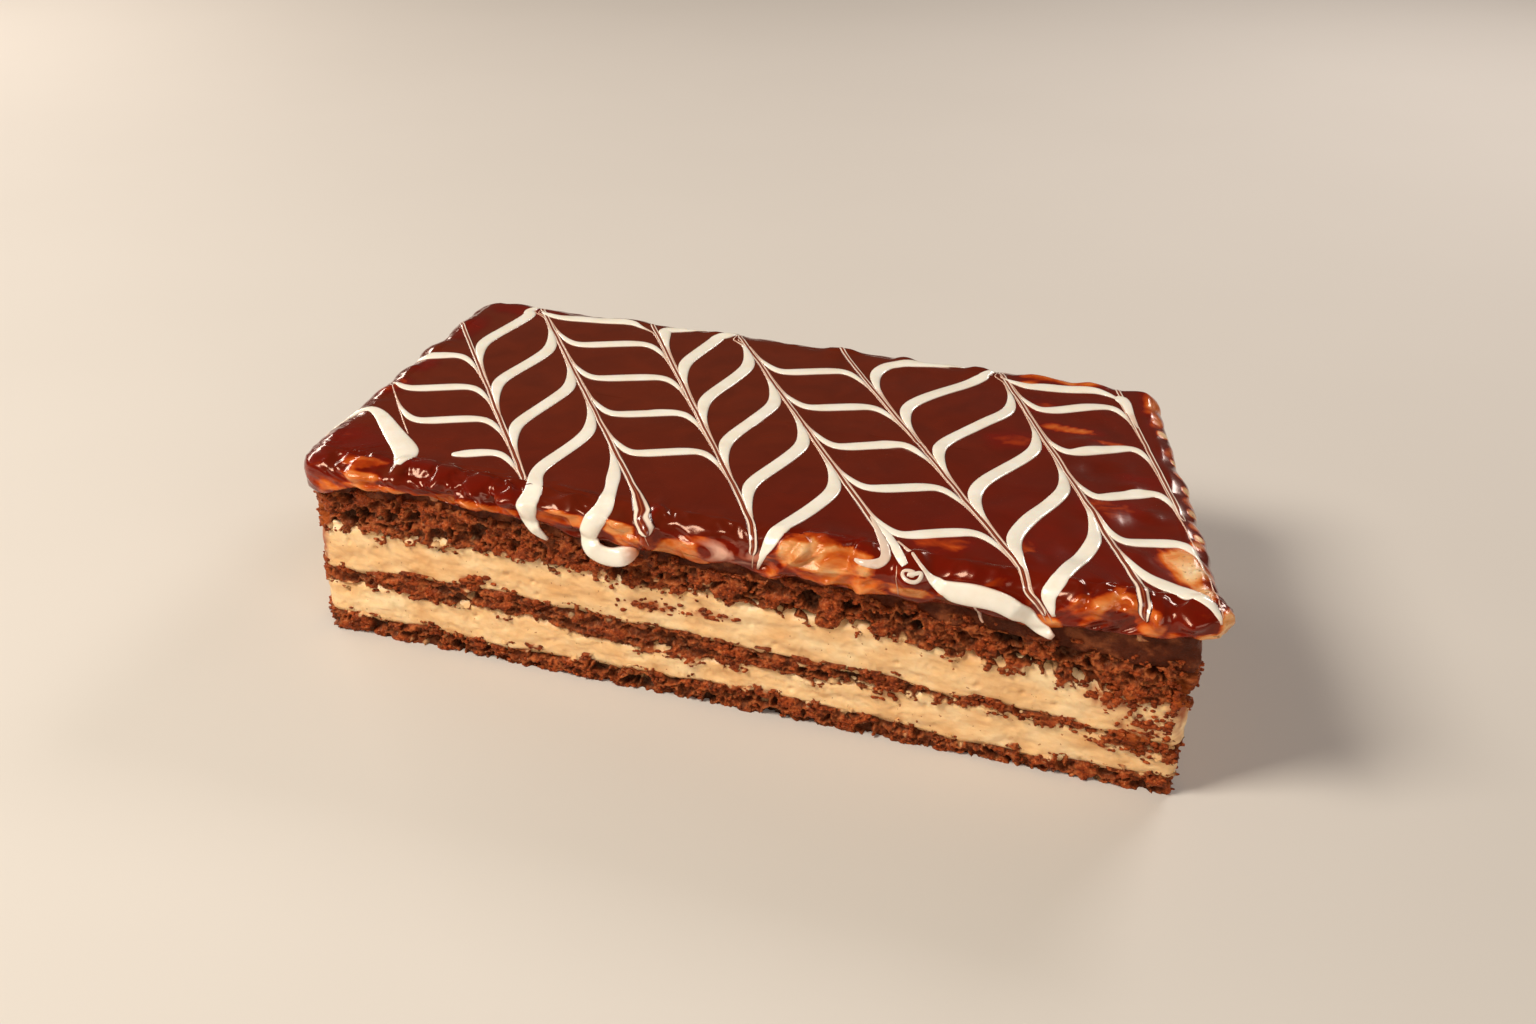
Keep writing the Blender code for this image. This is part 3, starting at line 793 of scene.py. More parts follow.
TOP_SWELLS = (   # on the right of the top, seen from above, in mm: place, depth, radius, height
    (61, -43.5, 5, 0.8), (81.5, -34, 3.5, 0.6), (81, -15, 4, 0.7), (74.5, -3.5, 3.5, 0.6), (72, -18, 7, 0.5),
    (53, -22, 8, 0.5), (60, 14, 6, 0.6), (48, -46, 6, 0.6), (70, -36, 6, -0.5), (66, 2, 6, -0.4),
)


def top_wave(points):
    """The slow waves of the poured top, stronger towards the right."""
    x, y, _ = in_mm(points)
    stronger = 0.5 + 0.5 * smooth_step((x + 20) / 100)
    flat = points * np.array([1.0, 1.0, 0.0])
    waves = stronger * (0.32 * rough(flat, 17 * MM, 3) + 0.3 * stronger ** 3 * rough(flat, 9 * MM, 9))
    for px, py, radius, height in TOP_SWELLS:
        waves = waves + height * bell(away_from(x, y, px, py, radius, radius))
    return MM * waves


PAINT = (   # on the front lip, in mm: place, height, half length, half height; then the share of caramel
    (-99, 40, 5, 8, 0.33), (-86, 44, 7, 1.1, 0.50), (-85, 41.5, 6, 2.6, 0.68), (-82, 39.2, 9, 1.3, 0.62),
    (-77, 43.3, 2.8, 2.4, 0.08), (-60, 42.6, 16, 4, 0.30), (-60, 39.2, 14, 1.1, 0.56),
    (-36, 39.9, 9, 1.9, 0.57), (-34, 36.6, 5, 1.8, 0.24), (-23.5, 40.2, 4, 2.2, 0.72),
    (-21, 37.6, 4, 1.6, 0.60), (-17, 40, 2.8, 5.4, 0.34), (-10, 37.2, 5.5, 2.8, 0.64), (-3, 40.4, 7, 1, 0.44),
    (2, 37.5, 8, 2.8, 0.40), (9, 36.5, 3.5, 2.2, 0.52), (22, 41, 12, 3.6, 0.70), (22, 44.3, 9, 0.8, 0.46),
    (30, 35.4, 6, 1.9, 0.58), (22, 36.6, 6, 1.2, 0.50), (40, 40.8, 4.8, 4.4, 0.30), (40, 37.1, 5, 1.2, 0.66),
    (52, 42.8, 12, 1.6, 0.32), (56, 36.2, 12, 1.8, 0.30), (68, 34.5, 3, 3, 0.60), (75, 40.5, 4, 2.8, 0.47),
    (82, 42.6, 6, 2, 0.60), (88, 39.6, 3, 3.4, 0.56), (95.5, 41, 6, 3, 0.34), (100, 38.4, 4, 1.4, 0.72),
    (103, 41, 2.6, 3.6, 0.78),
)
PLAN_PAINT = (   # elsewhere, seen from above: place, depth, half length, half depth, share of caramel
    (-94, -40, 10, 9, 0.32), (-73, -47, 6, 4, 0.33), (89, -32, 4, 6, 0.74), (93, -38, 4.5, 7, 0.86),
    (96, -45, 3, 4, 0.80), (92, -25, 2, 3, 0.62), (91.5, -21, 1.4, 1.4, 0.86), (90, -16, 2.2, 4, 0.56),
    (88.5, -9.5, 1.6, 2.2, 0.9), (87, -3.5, 2.2, 4, 0.5), (85.5, 1.5, 1.5, 2, 0.9), (83, 8, 2.2, 3.6, 0.56),
    (80.5, 14.5, 1.4, 1.5, 0.84), (79, 19, 2.4, 5, 0.46), (75.5, 27, 1.6, 2.2, 0.9), (73, 33, 2.2, 4.5, 0.54),
    (70.5, 43.5, 4, 9, 0.58), (48, 48.5, 12, 3.6, 0.62), (41, 44, 5, 1.6, 0.66), (28, 52.5, 10, 3, 0.68),
    (7, 52.5, 5, 3, 0.6), (45, 32, 7, 4.5, 0.44), (55, 21.5, 9, 2.6, 0.52), (66, 17, 5, 1.8, 0.54),
    (46, 11, 9, 6, 0.36), (72, -16, 8, 6, 0.42), (76, 0, 6, 4, 0.38), (59, -37, 4, 4, 0.50),
    (43, -42, 8, 5, 0.42), (-101, 6, 4, 8, 0.32), (-101, -10, 4, 6, 0.40), (-102, 30, 4, 9, 0.32),
    (-95, 46, 12, 5, 0.31),
)


def glaze_mix(points, ridges):
    """How much caramel shows in the glaze, from none in the chocolate on top to plain cream at 1."""
    x, y, z = in_mm(points)
    marbled = rough(points * np.array([0.8, 1.0, 1.6]), 5 * MM, 21)
    fine = rough(points * np.array([0.6, 1.0, 2.2]), 2 * MM, 27)
    redder = 0.14 * smooth_step((x + 30) / 110) + 0.08 * smooth_step((-y + 5) / 50)
    mixed = np.maximum(0.06 + redder, 0.30 * smooth_step((43.2 - z) / 2.6))
    mixed = mixed + 0.22 * smooth_step((41.0 - z) / 2.5) * smooth_step((marbled + 0.4 * fine) / 0.5)
    front = smooth_step((-y - 45) / 4)
    proud = np.maximum(FRONT_PLANE / MM - y, 0)
    seen_x, seen_z = x - SHIFT_ASIDE * proud, z - SHIFT_UP * proud
    for px, pz, half_x, half_z, much in PAINT:
        away = away_from(seen_x, seen_z, px, pz, half_x, half_z) + 0.22 * marbled + 0.12 * fine
        mixed = mixed + (much - mixed) * front * smooth_step((1.05 - away) / 0.35)
    for px, py, half_x, half_y, much in PLAN_PAINT:
        away = away_from(x, y, px, py, half_x, half_y) + 0.2 * marbled + 0.06 * fine
        mixed = mixed + (much - mixed) * smooth_step((1.2 - away) / 0.8)
    return np.clip(mixed + 0.07 * ridges * smooth_step((44 - z) / 2), 0.0, 1.0)


FREE_RING = 1.2            # from this ring on, counted in stops, the edge may be pushed about
TOP_FREEDOM = 0.35         # the share of the push that is left where the flat top begins
UPRIGHT_RING = 3.4         # from here on it is pushed up instead of out
HAZE = (1, 38.6, 10, 3.5)  # milky haze on the front lip, in mm: place, height, half length, half height


def lip_ring(ring):
    """One ring of the glaze's edge, and how its folds run."""
    offset, z = eased(COLUMN_OFFSETS, ring), eased(COLUMN_HEIGHTS, ring)
    sharp, soft = outward(WALL_X, WALL_Y, CORNER_RADIUS), outward(WALL_X, WALL_Y, SOFT_RADIUS)
    out_x, out_y = [np.where(offset < 0, b, a) for a, b in zip(sharp, soft)]
    points = place(WALL_X + out_x * offset, WALL_Y + out_y * offset, z)
    push, ridges = lumps_out(points)
    freedom = smooth_step((ring - FREE_RING) / 0.8)
    freedom = freedom * (TOP_FREEDOM + (1 - TOP_FREEDOM) * smooth_step((LAST_STOP - ring) / 1.2))
    upright = smooth_step((ring - UPRIGHT_RING) / 1.6)
    out = push * freedom * (1 - upright)
    up = np.minimum(push, RISE_LIMIT) * freedom * upright
    return points + stack(out_x * out, out_y * out, up), ridges


def glaze_body(surface):
    """The poured glaze: its rolled lip, and its top in rings that close in on the middle line."""
    made = [lip_ring(step / RING_STEPS) for step in range(LAST_STOP * RING_STEPS + 1)]
    rings, folds = [list(parts) for parts in zip(*made)]
    edge = rings[-1].copy()
    edge_lift = edge[:, 2] - HEIGHT
    middle_x = np.clip(WALL_X, -(LENGTH - WIDTH) / 2, (LENGTH - WIDTH) / 2)
    middle = place(middle_x, np.zeros_like(WALL_Y), HEIGHT)
    for step in range(1, TOP_RINGS):
        ring = edge + (middle - edge) * (step / TOP_RINGS) ** 1.15
        ring[:, 2] = HEIGHT + edge_lift * (1 - smooth_step(step / 3))
        rings.append(ring)
        folds.append(np.zeros_like(WALL_X))
    rings = np.array(rings)
    on_top = np.zeros(len(rings))
    on_top[-TOP_RINGS + 1:] = smooth_step(np.arange(1, TOP_RINGS) / 4)
    rings[..., 2] += top_wave(rings) * on_top[:, None]
    piece = ring_object("glaze_pour", rings)
    put_values(piece, "mixed", glaze_mix(rings, np.array(folds)))
    x, y, z = in_mm(rings)
    put_values(piece, "milky", 1.3 * bell(away_from(x, z, *HAZE)) * (y < -44))
    return finish_piece(piece, surface, ["glaze"])


# The icing

COVERED = (   # where the glaze closed over the icing, in mm: place, depth, half length, half depth
    (-63, -48, 15, 6.5), (-90, -44, 9, 8), (-79, -41, 9.5, 8),
)
FOLD_DEPTH = -44 * MM      # in front of here the flat pattern is folded down over the lip
FOLD_REACH = 14 * MM       # how far the fold goes on turning
LOWEST_ICING = 34.5 * MM
LOWEST_ON_TOP = HEIGHT - 2.2 * MM
END_LIMIT = 98 * MM        # beyond here, places aren't read from straight above
BEND_TOP = HEIGHT + 1 * MM
BEND_HEIGHT = 5 * MM       # over this height the reading turns from straight down to straight in
FREE_DEPTH = 1.6 * MM      # where the surface lies farther in than this, a strand hangs free
DRAPE_REACH = 1.6 * MM     # how near the surface must be for a strand to be laid on it


class Ground:
    """What the icing lies on: finds its surface under or beside a point."""

    def __init__(self, piece):
        points = [vert.co.copy() for vert in piece.data.vertices]
        self.tree = BVHTree.FromPolygons(points, [list(face.vertices) for face in piece.data.polygons])

    def along(self, point, way):
        """The first point and normal met on the way through this point."""
        way = Vector(way).normalized()
        return self.tree.ray_cast(Vector(point) - way * 2 * HEIGHT, way)[:2]

    def under(self, x, y):
        """Where a point of the flat pattern lies on the top or the front lip, or nothing past its edge."""
        spot, normal = self.along((x, y, HEIGHT), (0, smooth_step((FOLD_DEPTH - y) / FOLD_REACH), -1))
        if spot is None or spot.z < (LOWEST_ICING if y < FOLD_DEPTH else LOWEST_ON_TOP):
            return None
        if any(away_from(x / MM, y / MM, *oval) < 1 for oval in COVERED):
            return None
        return np.array(spot), np.array(normal)

    def beside(self, point):
        """The surface behind a place of the front plane, or the point itself where it hangs free."""
        if point[1] > FOLD_DEPTH:
            spot, normal = self.along(point, (0, 0, -1)) if abs(point[0]) < END_LIMIT else (None, None)
            if spot is None:
                spot, normal = self.tree.find_nearest(Vector(point))[:2]
            return np.array(spot), np.array(normal)
        found = np.array(point)
        for _ in range(2):
            proud = max(FRONT_PLANE - found[1], 0)
            aimed = (point[0] + SHIFT_ASIDE * proud, found[1], point[2] + SHIFT_UP * proud)
            turn = math.pi / 2 * min(max((BEND_TOP - aimed[2]) / BEND_HEIGHT, 0.0), 1.0)
            spot, normal = self.along(aimed, (0, math.sin(turn), -math.cos(turn)))
            if spot is None or spot.y > point[1] + FREE_DEPTH:
                found, normal = np.array(aimed), (0.0, -1.0, 0.15)
            else:
                found = np.array(spot)
        return found, np.array(normal)

    def draped(self, points, normals):
        """Rows of points moved along their normals onto the surface, where it is near."""
        moved = np.array(points)
        for line, normal in zip(moved, normals):
            up = Vector(normal)
            for index, point in enumerate(line):
                spot = self.tree.ray_cast(Vector(point) + up * DRAPE_REACH, -up, 2 * DRAPE_REACH)[0]
                if spot is not None:
                    line[index] = spot
        return moved


def smoothed(values, reach):
    """A running average, with the ends held."""
    values = np.array(values)
    padded_values = np.concatenate([values[:1].repeat(reach, 0), values, values[-1:].repeat(reach, 0)])
    return np.array([padded_values[i:i + 2 * reach + 1].mean(axis=0) for i in range(len(values))])


def unit(vectors):
    return vectors / np.linalg.norm(vectors, axis=-1, keepdims=True)


SECTION_TOP = 9            # points across the rounded top of a strand
SECTION_FOOT = 0.7         # how far out the two points under it lie, as a share of its half width


def strand(ground, centres, normals, halves, rises, sink, evenness=1):
    """Rings of points for a strand of icing, rounded above and sunk into what it lies on."""
    normals = unit(normals)
    sides = unit(np.cross(unit(np.gradient(centres, axis=0)), normals))
    angles = np.linspace(0, math.pi, SECTION_TOP)
    across = np.concatenate([np.cos(angles), [-SECTION_FOOT, SECTION_FOOT]])
    up = np.concatenate([np.sin(angles) ** 0.7, [0, 0]])
    lift = np.concatenate([np.zeros(SECTION_TOP) - 0.15, [-1, -1]])
    flat = centres[:, None] + sides[:, None] * halves[:, None, None] * across[None, :, None]
    lying = ground.draped(flat, normals)
    even = smoothed(lying, evenness)
    under = np.maximum(((lying - even) * normals[:, None]).sum(axis=-1), 0)
    height = smoothed(under, 1) + rises[:, None] * up + sink * lift
    return even + normals[:, None] * height[:, :, None]


def tinted(halves, pink=0.0):
    """How much the glaze tints the icing at each point of its rings: where it is thin, and at its edges."""
    thin = np.maximum(0.7 * (1 - smooth_step((halves - TAIL_HALF) / (0.5 * MM))), pink)
    edges = np.zeros(SECTION_TOP + 2)
    edges[[0, SECTION_TOP - 1]] = 0.5
    return np.maximum(thin[:, None], edges)


class Strands:
    """Collects strands, and makes one mesh of them."""

    def __init__(self):
        self.points, self.faces, self.values = [], [], {}

    def add(self, rings, **values):
        count, columns = rings.shape[:2]
        self.faces += ring_faces(count, columns, len(self.points))
        self.points += list(rings.reshape(-1, 3))
        for key, value in values.items():
            self.values.setdefault(key, []).append(np.broadcast_to(value, (count, columns)).ravel())

    def make(self, name, surface):
        piece = new_object(name, self.points, self.faces)
        for key, parts in self.values.items():
            put_values(piece, key, np.concatenate(parts))
        return finish_piece(piece, surface)


EDGE_DEPTH = -51 * MM      # in front of here the pattern runs straight down the lip
EDGE_SOFTNESS = 2.5 * MM
LIP_TURNS = (0, 0, 0.35, -0.2, 0, 0.6, 0.1, 0)   # how much each spine turns aside on the lip


def spine_x(spine, y):
    """A spine's place at a depth of the flat pattern; on the lip it runs down, turning a little."""
    middle, slant = SPINES[spine]
    ahead = EDGE_SOFTNESS * np.log1p(np.exp(np.clip((y - EDGE_DEPTH) / EDGE_SOFTNESS, -40, 40)))
    past = np.maximum(EDGE_DEPTH - 2 * MM - y, 0)
    return middle * MM + slant * (EDGE_DEPTH + ahead) + LIP_TURNS[spine] * past


TAIL_LENGTH = 19 * MM
TAIL_REACH = 7 * MM
TAIL_HALF = 0.14 * MM
BACK_LIMIT = 43 * MM       # behind here the pattern is squeezed towards the front
BACK_SQUEEZE = 0.45
ROW_SHIFTS = {   # rows that stray from the even steps: how far back and how much more they slope, in mm
    (6, 0): (-4, 0), (6, 1): (3, 2), (6, 2): (0, 3), (6, 3): (-2, 1), (6, 4): (-3, -6), (6, 5): (-3, -18),
    (2, 0): (-1, 0), (0, 0): (1, 0),
}
HIDDEN_ROWS = ((0, 4), (1, 5), (2, 5), (2, 6), (3, 6), (4, 5), (5, 6), (6, 6))


def tail(spine, x, y, half, direction):
    """The end of a strand, drawn out along a spine ever closer to it, forward or back."""
    run = np.linspace(0.03, 1, 24) * TAIL_LENGTH
    tail_y = y + direction * run
    start = x - spine_x(spine, y)
    end = np.sign(start) * (0.22 + 0.5 * abs(math.sin(1000 * y))) * MM
    aside = end + (start - end) * np.exp(-run / TAIL_REACH)
    halves = TAIL_HALF + (half - TAIL_HALF) * np.exp(-run / (3.5 * MM))
    return spine_x(spine, tail_y) + aside, tail_y, halves * smooth_step((TAIL_LENGTH - run) / (4 * MM) + 0.35)


def feather_line(column, row):
    """The middle line of one row of icing with its drawn-out tails, and its half width there."""
    forward = column % 2 == 0
    slope = FORWARD_SLOPE if forward else BACKWARD_SLOPE
    pull = -1 if forward else 1
    t = np.sin(math.pi / 2 * np.linspace(0.13, 0.87, 49)) ** 2
    drawn = sum(reach * (np.exp((t - 1) / share) - np.exp(-t / share))
                for reach, share in ((0.9 * PULL, PULL_REACH), (0.14 * PULL, 3 * PULL_REACH)))
    shift, turn = ROW_SHIFTS.get((column, row), (0, 0))
    middle_y = (FIRST_ROW[column] - row * ROW_STEP[column] + shift) * MM
    y = middle_y + (slope + turn * MM) * (t - 0.5) + pull * drawn
    x = spine_x(column, y) * (1 - t) + spine_x(column + 1, y) * t
    inward = np.minimum(t, 1 - t)
    halves = ICING_WIDTH / 2 * (1 - np.exp(-inward / 0.05)) ** 1.8
    halves = halves * (0.6 + 0.45 * smooth_step(inward / 0.38) if forward else 1.04)
    left = tail(column, x[0], y[0], halves[0], -pull)
    right = tail(column + 1, x[-1], y[-1], halves[-1], pull)
    x, y, halves = [np.concatenate([a[::-1], b, c]) for a, b, c in zip(left, (x, y, halves), right)]
    y = np.where(y > BACK_LIMIT, BACK_LIMIT + (y - BACK_LIMIT) * BACK_SQUEEZE, y)
    return x, y, halves


ICING_HEIGHT = 0.36 * MM
ICING_SINK = 0.25 * MM
FULL_HALF = 0.8 * MM       # strands at least this wide to each side have the full height
SHORTEST_RUN = 5           # points
END_POINTS = 7             # over this many points a cut end is rounded


def add_run(strands, ground, run, cut_first, cut_last):
    """Adds the strand over points found on the top, with round ends where the edge cut it."""
    if len(run) < SHORTEST_RUN:
        return
    spots, normals, halves = [np.array(part) for part in zip(*run)]
    ends = np.arange(len(run))
    if cut_first:
        halves = halves * np.sqrt(np.clip((ends + 0.4) / END_POINTS, 0, 1))
    if cut_last:
        halves = halves * np.sqrt(np.clip((len(run) - 0.6 - ends) / END_POINTS, 0, 1))
    rises = ICING_HEIGHT * np.clip(halves / FULL_HALF, 0.4, 1)
    rings = strand(ground, smoothed(spots, 1), smoothed(normals, 3), halves, rises, ICING_SINK)
    strands.add(rings, thin=tinted(halves))


def icing_rows(strands, ground):
    """The feathered rows on the flat top, apart from those that run off over the lip or are covered."""
    left_out = [rope[:2] for rope in ROPES] + list(HIDDEN_ROWS)
    for column in range(len(SPINES) - 1):
        for row in range(ROWS):
            if (column, row) in left_out:
                continue
            run, was_off = [], False
            for x, y, half in zip(*feather_line(column, row)):
                found = ground.under(x, y)
                if found:
                    run.append((*found, half))
                    continue
                if run:
                    add_run(strands, ground, run, was_off, True)
                run, was_off = [], True
            add_run(strands, ground, run, was_off, False)


ROPES = (
    # Rows that run off over the front lip: column, row, tint of the end from 0 to 1,
    # place in mm where they leave the top, then stops in mm: place, depth, height, half width
    (1, 3, 0.1, -43.5, (
        (-44.9, -47.5, 44, 2), (-44.4, -51, 43, 2.3), (-44.7, -52.8, 41.2, 2.4), (-44.5, -53.3, 38.8, 1.9),
        (-43.2, -53, 36.6, 1.3), (-41.4, -52.3, 35, 0.8), (-40, -51.8, 33.9, 0.2),
    )),
    (1, 4, 1, -38, (
        (-29.4, -42, 44, 1.4), (-28, -47.5, 44, 1.8), (-27.6, -51.5, 43.2, 2.3), (-29, -53.2, 40.8, 2.4),
        (-30.3, -53.8, 38, 2.2), (-30.4, -53.8, 35.5, 2.1), (-28.6, -53.7, 33.5, 2.1),
        (-25.4, -53.5, 32.8, 2.1), (-22, -53.3, 33.6, 2.1), (-18.8, -53, 35.5, 0.8),
    )),
)
FLOWS = (
    # Other strands: from what share of the length on they are tinted, how much, from 0 to 1,
    # then stops in mm: place, depth, height, half width
    (0, 0, (
        (-103.2, -44, 41.5, 0.3), (-104, -36, 42.5, 0.5), (-103.2, -28, 43.6, 0.8), (-100, -23.5, 44.4, 1.2),
        (-95.5, -25.5, 44.6, 1.7), (-90, -31, 44.6, 2.2), (-84.5, -36.5, 44.6, 2.7), (-79.8, -41, 44.4, 3),
        (-77.8, -45, 44, 2.4), (-77.4, -48.6, 43.4, 0.8),
    )),
    (0.6, 0.4, (
        (61.2, 43.6, 44.2, 0.5), (62.4, 43, 44.4, 1.5), (64.4, 40.2, 44.4, 1.3), (66.6, 34.8, 44.4, 0.8),
        (69.7, 27.2, 44.4, 0.45), (73.6, 17, 44.4, 0.2),
    )),
    (0, 0.35, (
        (22.9, -32.5, 44, 0.3), (26.2, -35.5, 44, 0.45), (29.6, -40.8, 44, 0.7), (33.2, -47.6, 44, 1),
        (34.4, -51, 43.4, 1.1), (33.2, -53, 42.4, 1.1), (30.6, -53.8, 42, 0.8), (27.5, -54, 42.4, 0.3),
    )),
    (0, 0, (
        (28, -37.5, 44, 0.4), (31.7, -41.5, 44, 0.8), (35.5, -47.4, 44, 1), (37.6, -50.6, 43.6, 0.95),
        (39, -52.4, 43, 0.7),
    )),
    (0.96, 0.7, (
        (34.4, -43.9, 44, 0.3), (38, -47.2, 44, 0.35), (41.5, -51, 43.4, 0.4), (43.8, -53, 41.7, 0.6),
        (45.6, -54, 39.8, 1.5), (49, -54, 39, 2.2), (52.7, -54, 39.1, 2.4), (57, -54, 38.8, 2.2),
        (60.4, -53.8, 37.8, 2.2), (64.5, -53.5, 35.5, 1.8), (67.5, -53, 33.8, 1.3), (69.6, -52.6, 32.6, 0.5),
    )),
    (0, 0.4, (
        (53.2, -53.6, 36.8, 0.3), (53.9, -52.5, 35, 0.3), (55.4, -52, 33, 0.2),
    )),
)
SWIRL_PLACE = (39.8, -54, 41.4)
SWIRL_RADIUS = 2.9
SWIRL_TURNS = 1.6
SWIRL_TINT = 0.05
ROPE_TINT_START = 0.95
STOP_STEPS = 8             # points of a strand for each of its stops
FLOW_SINK = 0.6 * MM
STEEP_HEIGHT = 4 * MM      # over this height below the top, strands get fuller


def smooth_path(stops, before=()):
    """Points in metres of a smooth curve through the stops, and through those that come before them."""
    full = list(np.array([*before, *stops], float))
    places = np.linspace(0, len(full) - 1, STOP_STEPS * len(stops))
    return MM * np.array([eased(full, place_on) for place_on in places])


def rope_path(column, row, leaves_at, stops):
    """The row's line as far as the lip, and on through the stops."""
    x, y, halves = [part[::-1] for part in feather_line(column, row)]
    line = stack(x, y, HEIGHT, halves)[:np.argmax(y < leaves_at * MM)]
    return np.concatenate([line, smooth_path(stops, [line[-1] / MM])[1:]])


def swirl_path():
    """The curl of icing on the red drop: a spiral that closes in."""
    share = np.linspace(0, 1, 110)
    angle = math.radians(110) - 2 * math.pi * SWIRL_TURNS * share
    radius = SWIRL_RADIUS * (1 - 0.85 * share)
    x, y, z = SWIRL_PLACE
    return stack(x + radius * np.cos(angle), y, z + 0.9 * radius * np.sin(angle), 0.5 - 0.18 * share) * MM


def front_flows(strands, ground):
    """The broad strands of icing that run down over the front lip, and the finer ones beside them."""
    paths = [(start, tint, smooth_path(stops)) for start, tint, stops in FLOWS]
    paths += [(ROPE_TINT_START, tint, rope_path(column, row, *rest)) for column, row, tint, *rest in ROPES]
    paths.append((0, SWIRL_TINT, swirl_path()))
    for tint_start, tint, path in paths:
        found = [ground.beside(point[:3]) for point in path]
        spots = smoothed([spot for spot, _ in found], 4)
        normals = smoothed([normal for _, normal in found], 8)
        halves = smoothed(path[:, 3], 2)
        steep = smooth_step((HEIGHT - 0.4 * MM - spots[:, 2]) / STEEP_HEIGHT)
        rises = ICING_HEIGHT * np.clip(halves / FULL_HALF, 0.3, 1) + steep * 0.3 * halves
        pink = tint * smooth_step((np.linspace(0, 1, len(path)) - tint_start) / 0.1 + 0.5)
        rings = strand(ground, spots, normals, halves, rises, FLOW_SINK, evenness=3)
        strands.add(rings, thin=tinted(halves, pink))


STREAK_HALF = 0.62 * MM
STREAK_STEP = 0.6 * MM
STREAK_SINK = 0.3 * MM
SWAY_LENGTH = 30 * MM
STREAK_ENDS = (0, -46, -58, -57, -45, -59, -56, -16)   # depth in mm as far as which each spine is drawn
STREAK_SWELLS = (0, 0, 2.0, 0.2, 0, 0, 0.9, 0)         # how much wider it gets on the lip


def spine_streaks(surface, ground):
    """The narrow bundles of fine lines along the spines."""
    strands = Strands()
    across = np.linspace(-1, 1, 9)
    for spine in range(1, len(SPINES)):
        end = STREAK_ENDS[spine] * MM
        depths = np.arange(WIDTH / 2 + 2 * MM, end, -STREAK_STEP)
        run = [(ground.under(spine_x(spine, y), y), y) for y in depths]
        spots, normals, depths = zip(*[(*found, y) for found, y in run if found])
        spots, normals, depths = smoothed(spots, 1), unit(smoothed(normals, 2)), np.array(depths)
        sides = np.cross(unit(np.gradient(spots, axis=0)), normals)
        swell = STREAK_SWELLS[spine] * smooth_step((-38 * MM - depths) / (14 * MM))
        wider = 1 + 0.35 * smooth_step(-depths / (40 * MM)) + swell
        halves = STREAK_HALF * wider * np.sqrt(np.clip((depths - end) / (2 * MM), 0.02, 1))
        rise = 0.07 * MM + (0.05 * MM + 0.3 * MM * swell)[:, None] * (1 - across ** 2)
        upper = spots[:, None] + sides[:, None] * halves[:, None, None] * across[None, :, None]
        upper = ground.draped(upper, normals) + normals[:, None] * rise[:, :, None]
        lower = spots - normals * STREAK_SINK
        rings = np.concatenate([upper, lower[:, None]], axis=1)
        strands.add(rings, across=np.append(across, 0.0), along=depths[:, None] / SWAY_LENGTH, spine=spine)
    strands.make("spine_streaks", surface)


# The stage

FLOOR_SIZE = 6.0
WORLD_COLOUR = (1.0, 0.72, 0.58, 1.0)
WORLD_STRENGTH = 0.08


def add_floor():
    bpy.ops.mesh.primitive_plane_add(size=FLOOR_SIZE)
    floor = bpy.context.object
    floor.name = "floor"
    made, tree, shader = new_material("floor", 0.8)
    tone = ramp(tree, grain(tree, 0.4), (0.3, (0.66, 0.62, 0.57)), (0.7, (0.70, 0.66, 0.61)))
    feed(tree, shader, "Base Color", tone)
    floor.data.materials.append(made)


LIGHTS = (   # name, sizes in metres, power, place, place aimed at, colour
    ("key", (0.4, 0.4), 10.6, (-0.55, -0.5, 0.75), (0, 0, 0.02), (1.0, 0.92, 0.80)),
    ("fill", (0.8, 0.5), 3.6, (0.75, -0.7, 0.5), (0, 0, 0.02), (1.0, 0.93, 0.85)),
    ("left", (0.5, 0.12), 2.2, (-0.8, 0.4, 0.3), (0, 0, 0.03), (1.0, 0.9, 0.8)),
    ("rim", (0.3, 0.2), 2.6, (0.25, 0.72, 0.5), (0.03, 0, 0.03), (1.0, 0.94, 0.9)),
)


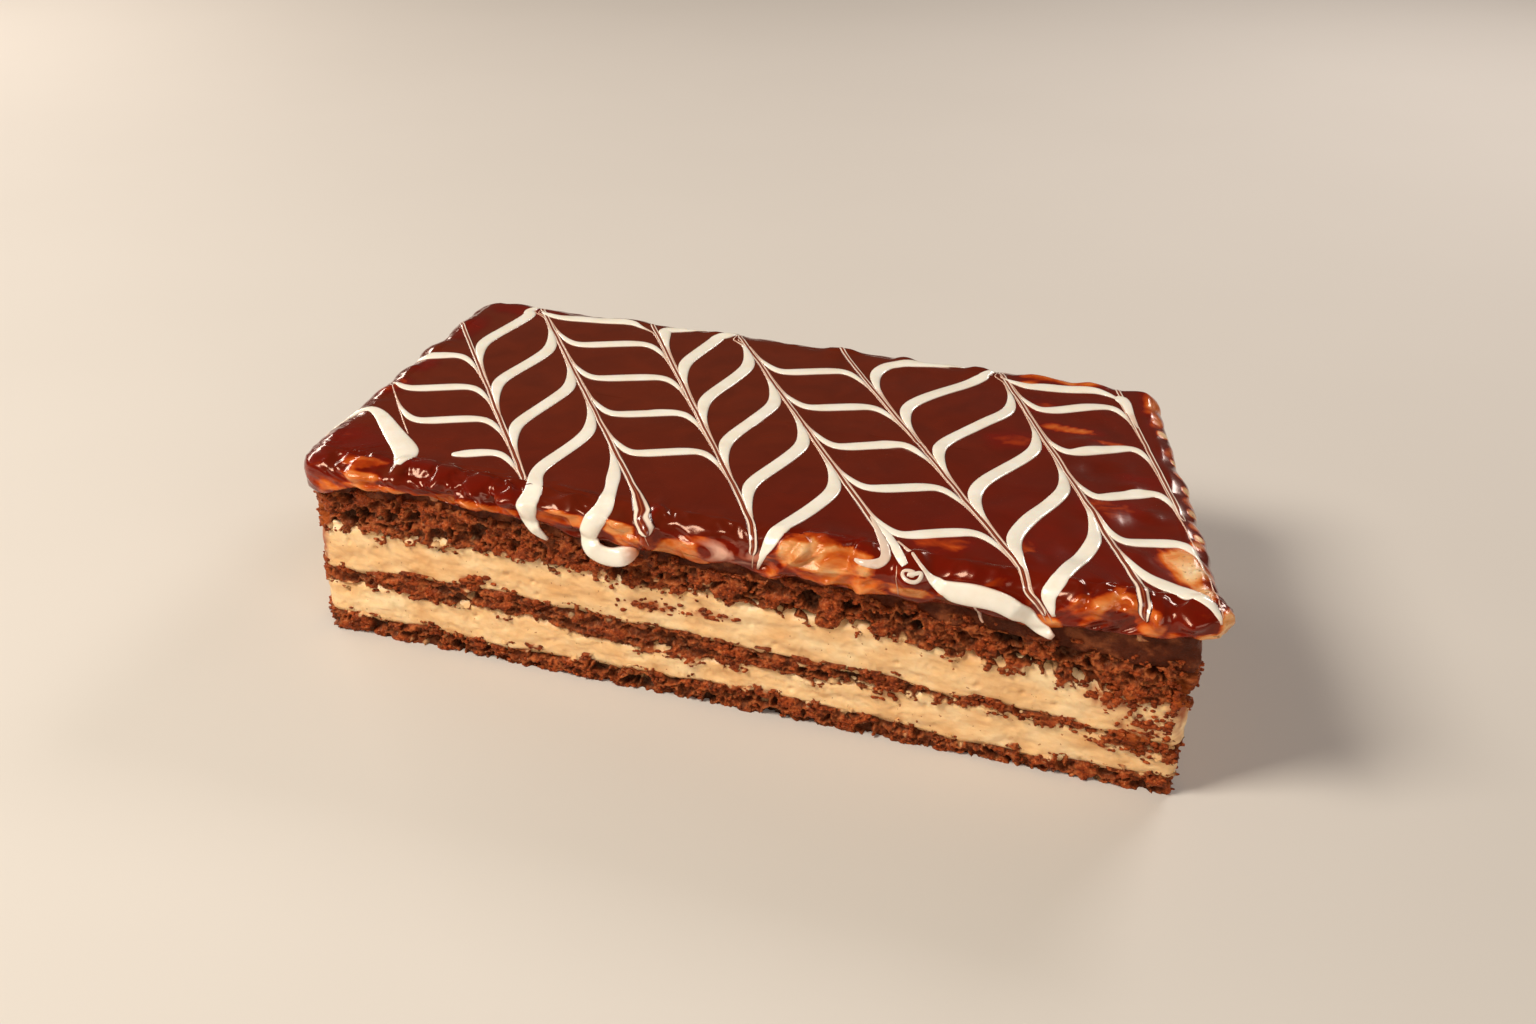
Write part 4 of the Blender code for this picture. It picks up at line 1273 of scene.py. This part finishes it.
def add_lights():
    world = bpy.data.worlds.new("studio")
    world.use_nodes = True
    background = world.node_tree.nodes["Background"]
    background.inputs["Color"].default_value = WORLD_COLOUR
    background.inputs["Strength"].default_value = WORLD_STRENGTH
    bpy.context.scene.world = world
    for name, size, energy, position, target, colour in LIGHTS:
        data = bpy.data.lights.new(name, "AREA")
        data.shape = "RECTANGLE"
        data.size, data.size_y = size
        data.energy = energy
        data.color = colour
        lamp = bpy.data.objects.new(name, data)
        lamp.location = position
        lamp.rotation_euler = (Vector(target) - Vector(position)).to_track_quat("-Z", "Y").to_euler()
        bpy.context.scene.collection.objects.link(lamp)


CAMERA_PLACE = (133.1 * MM, -379.65 * MM, 225.63 * MM)
CAMERA_TILT = 63.312
CAMERA_TURN = 20.604
LENS = 45.7


def add_camera():
    data = bpy.data.cameras.new("camera")
    data.lens = LENS
    data.sensor_width = 36.0
    data.clip_start = 0.01
    camera = bpy.data.objects.new("camera", data)
    camera.location = CAMERA_PLACE
    camera.rotation_euler = (math.radians(CAMERA_TILT), 0.0, math.radians(CAMERA_TURN))
    bpy.context.scene.collection.objects.link(camera)
    bpy.context.scene.camera = camera


THIN_WALL_BITS = 900       # how many bits cling to each thin sponge, and to the thick one
THICK_WALL_BITS = 1800


def build_cake():
    sponge, cream = sponge_material(), cream_material()
    walls = [
        (sponge_layer("sponge_base", sponge, 1.5, pores=0.85), THIN_WALL_BITS),
        (sponge_layer("sponge_middle", sponge, 2.4, film=1.4 * MM, pores=0.72), THIN_WALL_BITS),
        (sponge_layer("sponge_top", sponge, 1.35), THICK_WALL_BITS),
    ]
    clinging_bits("sponge_crumbs", sponge, walls)
    cream_layer("cream_lower", cream)
    cream_layer("cream_upper", cream)
    thin_layer("ganache", ganache_material(), 0.5 * MM, 5 * MM, above=1.8 * MM)
    thin_layer("caramel", caramel_material(), 1.1 * MM, 4 * MM)
    body = glaze_body(glaze_material())
    ground = Ground(body)
    spine_streaks(streak_material(), ground)
    icing = Strands()
    icing_rows(icing, ground)
    front_flows(icing, ground)
    icing.make("feather_icing", icing_material())


bpy.context.scene.view_settings.view_transform = "Standard"
build_cake()
add_floor()
add_lights()
add_camera()
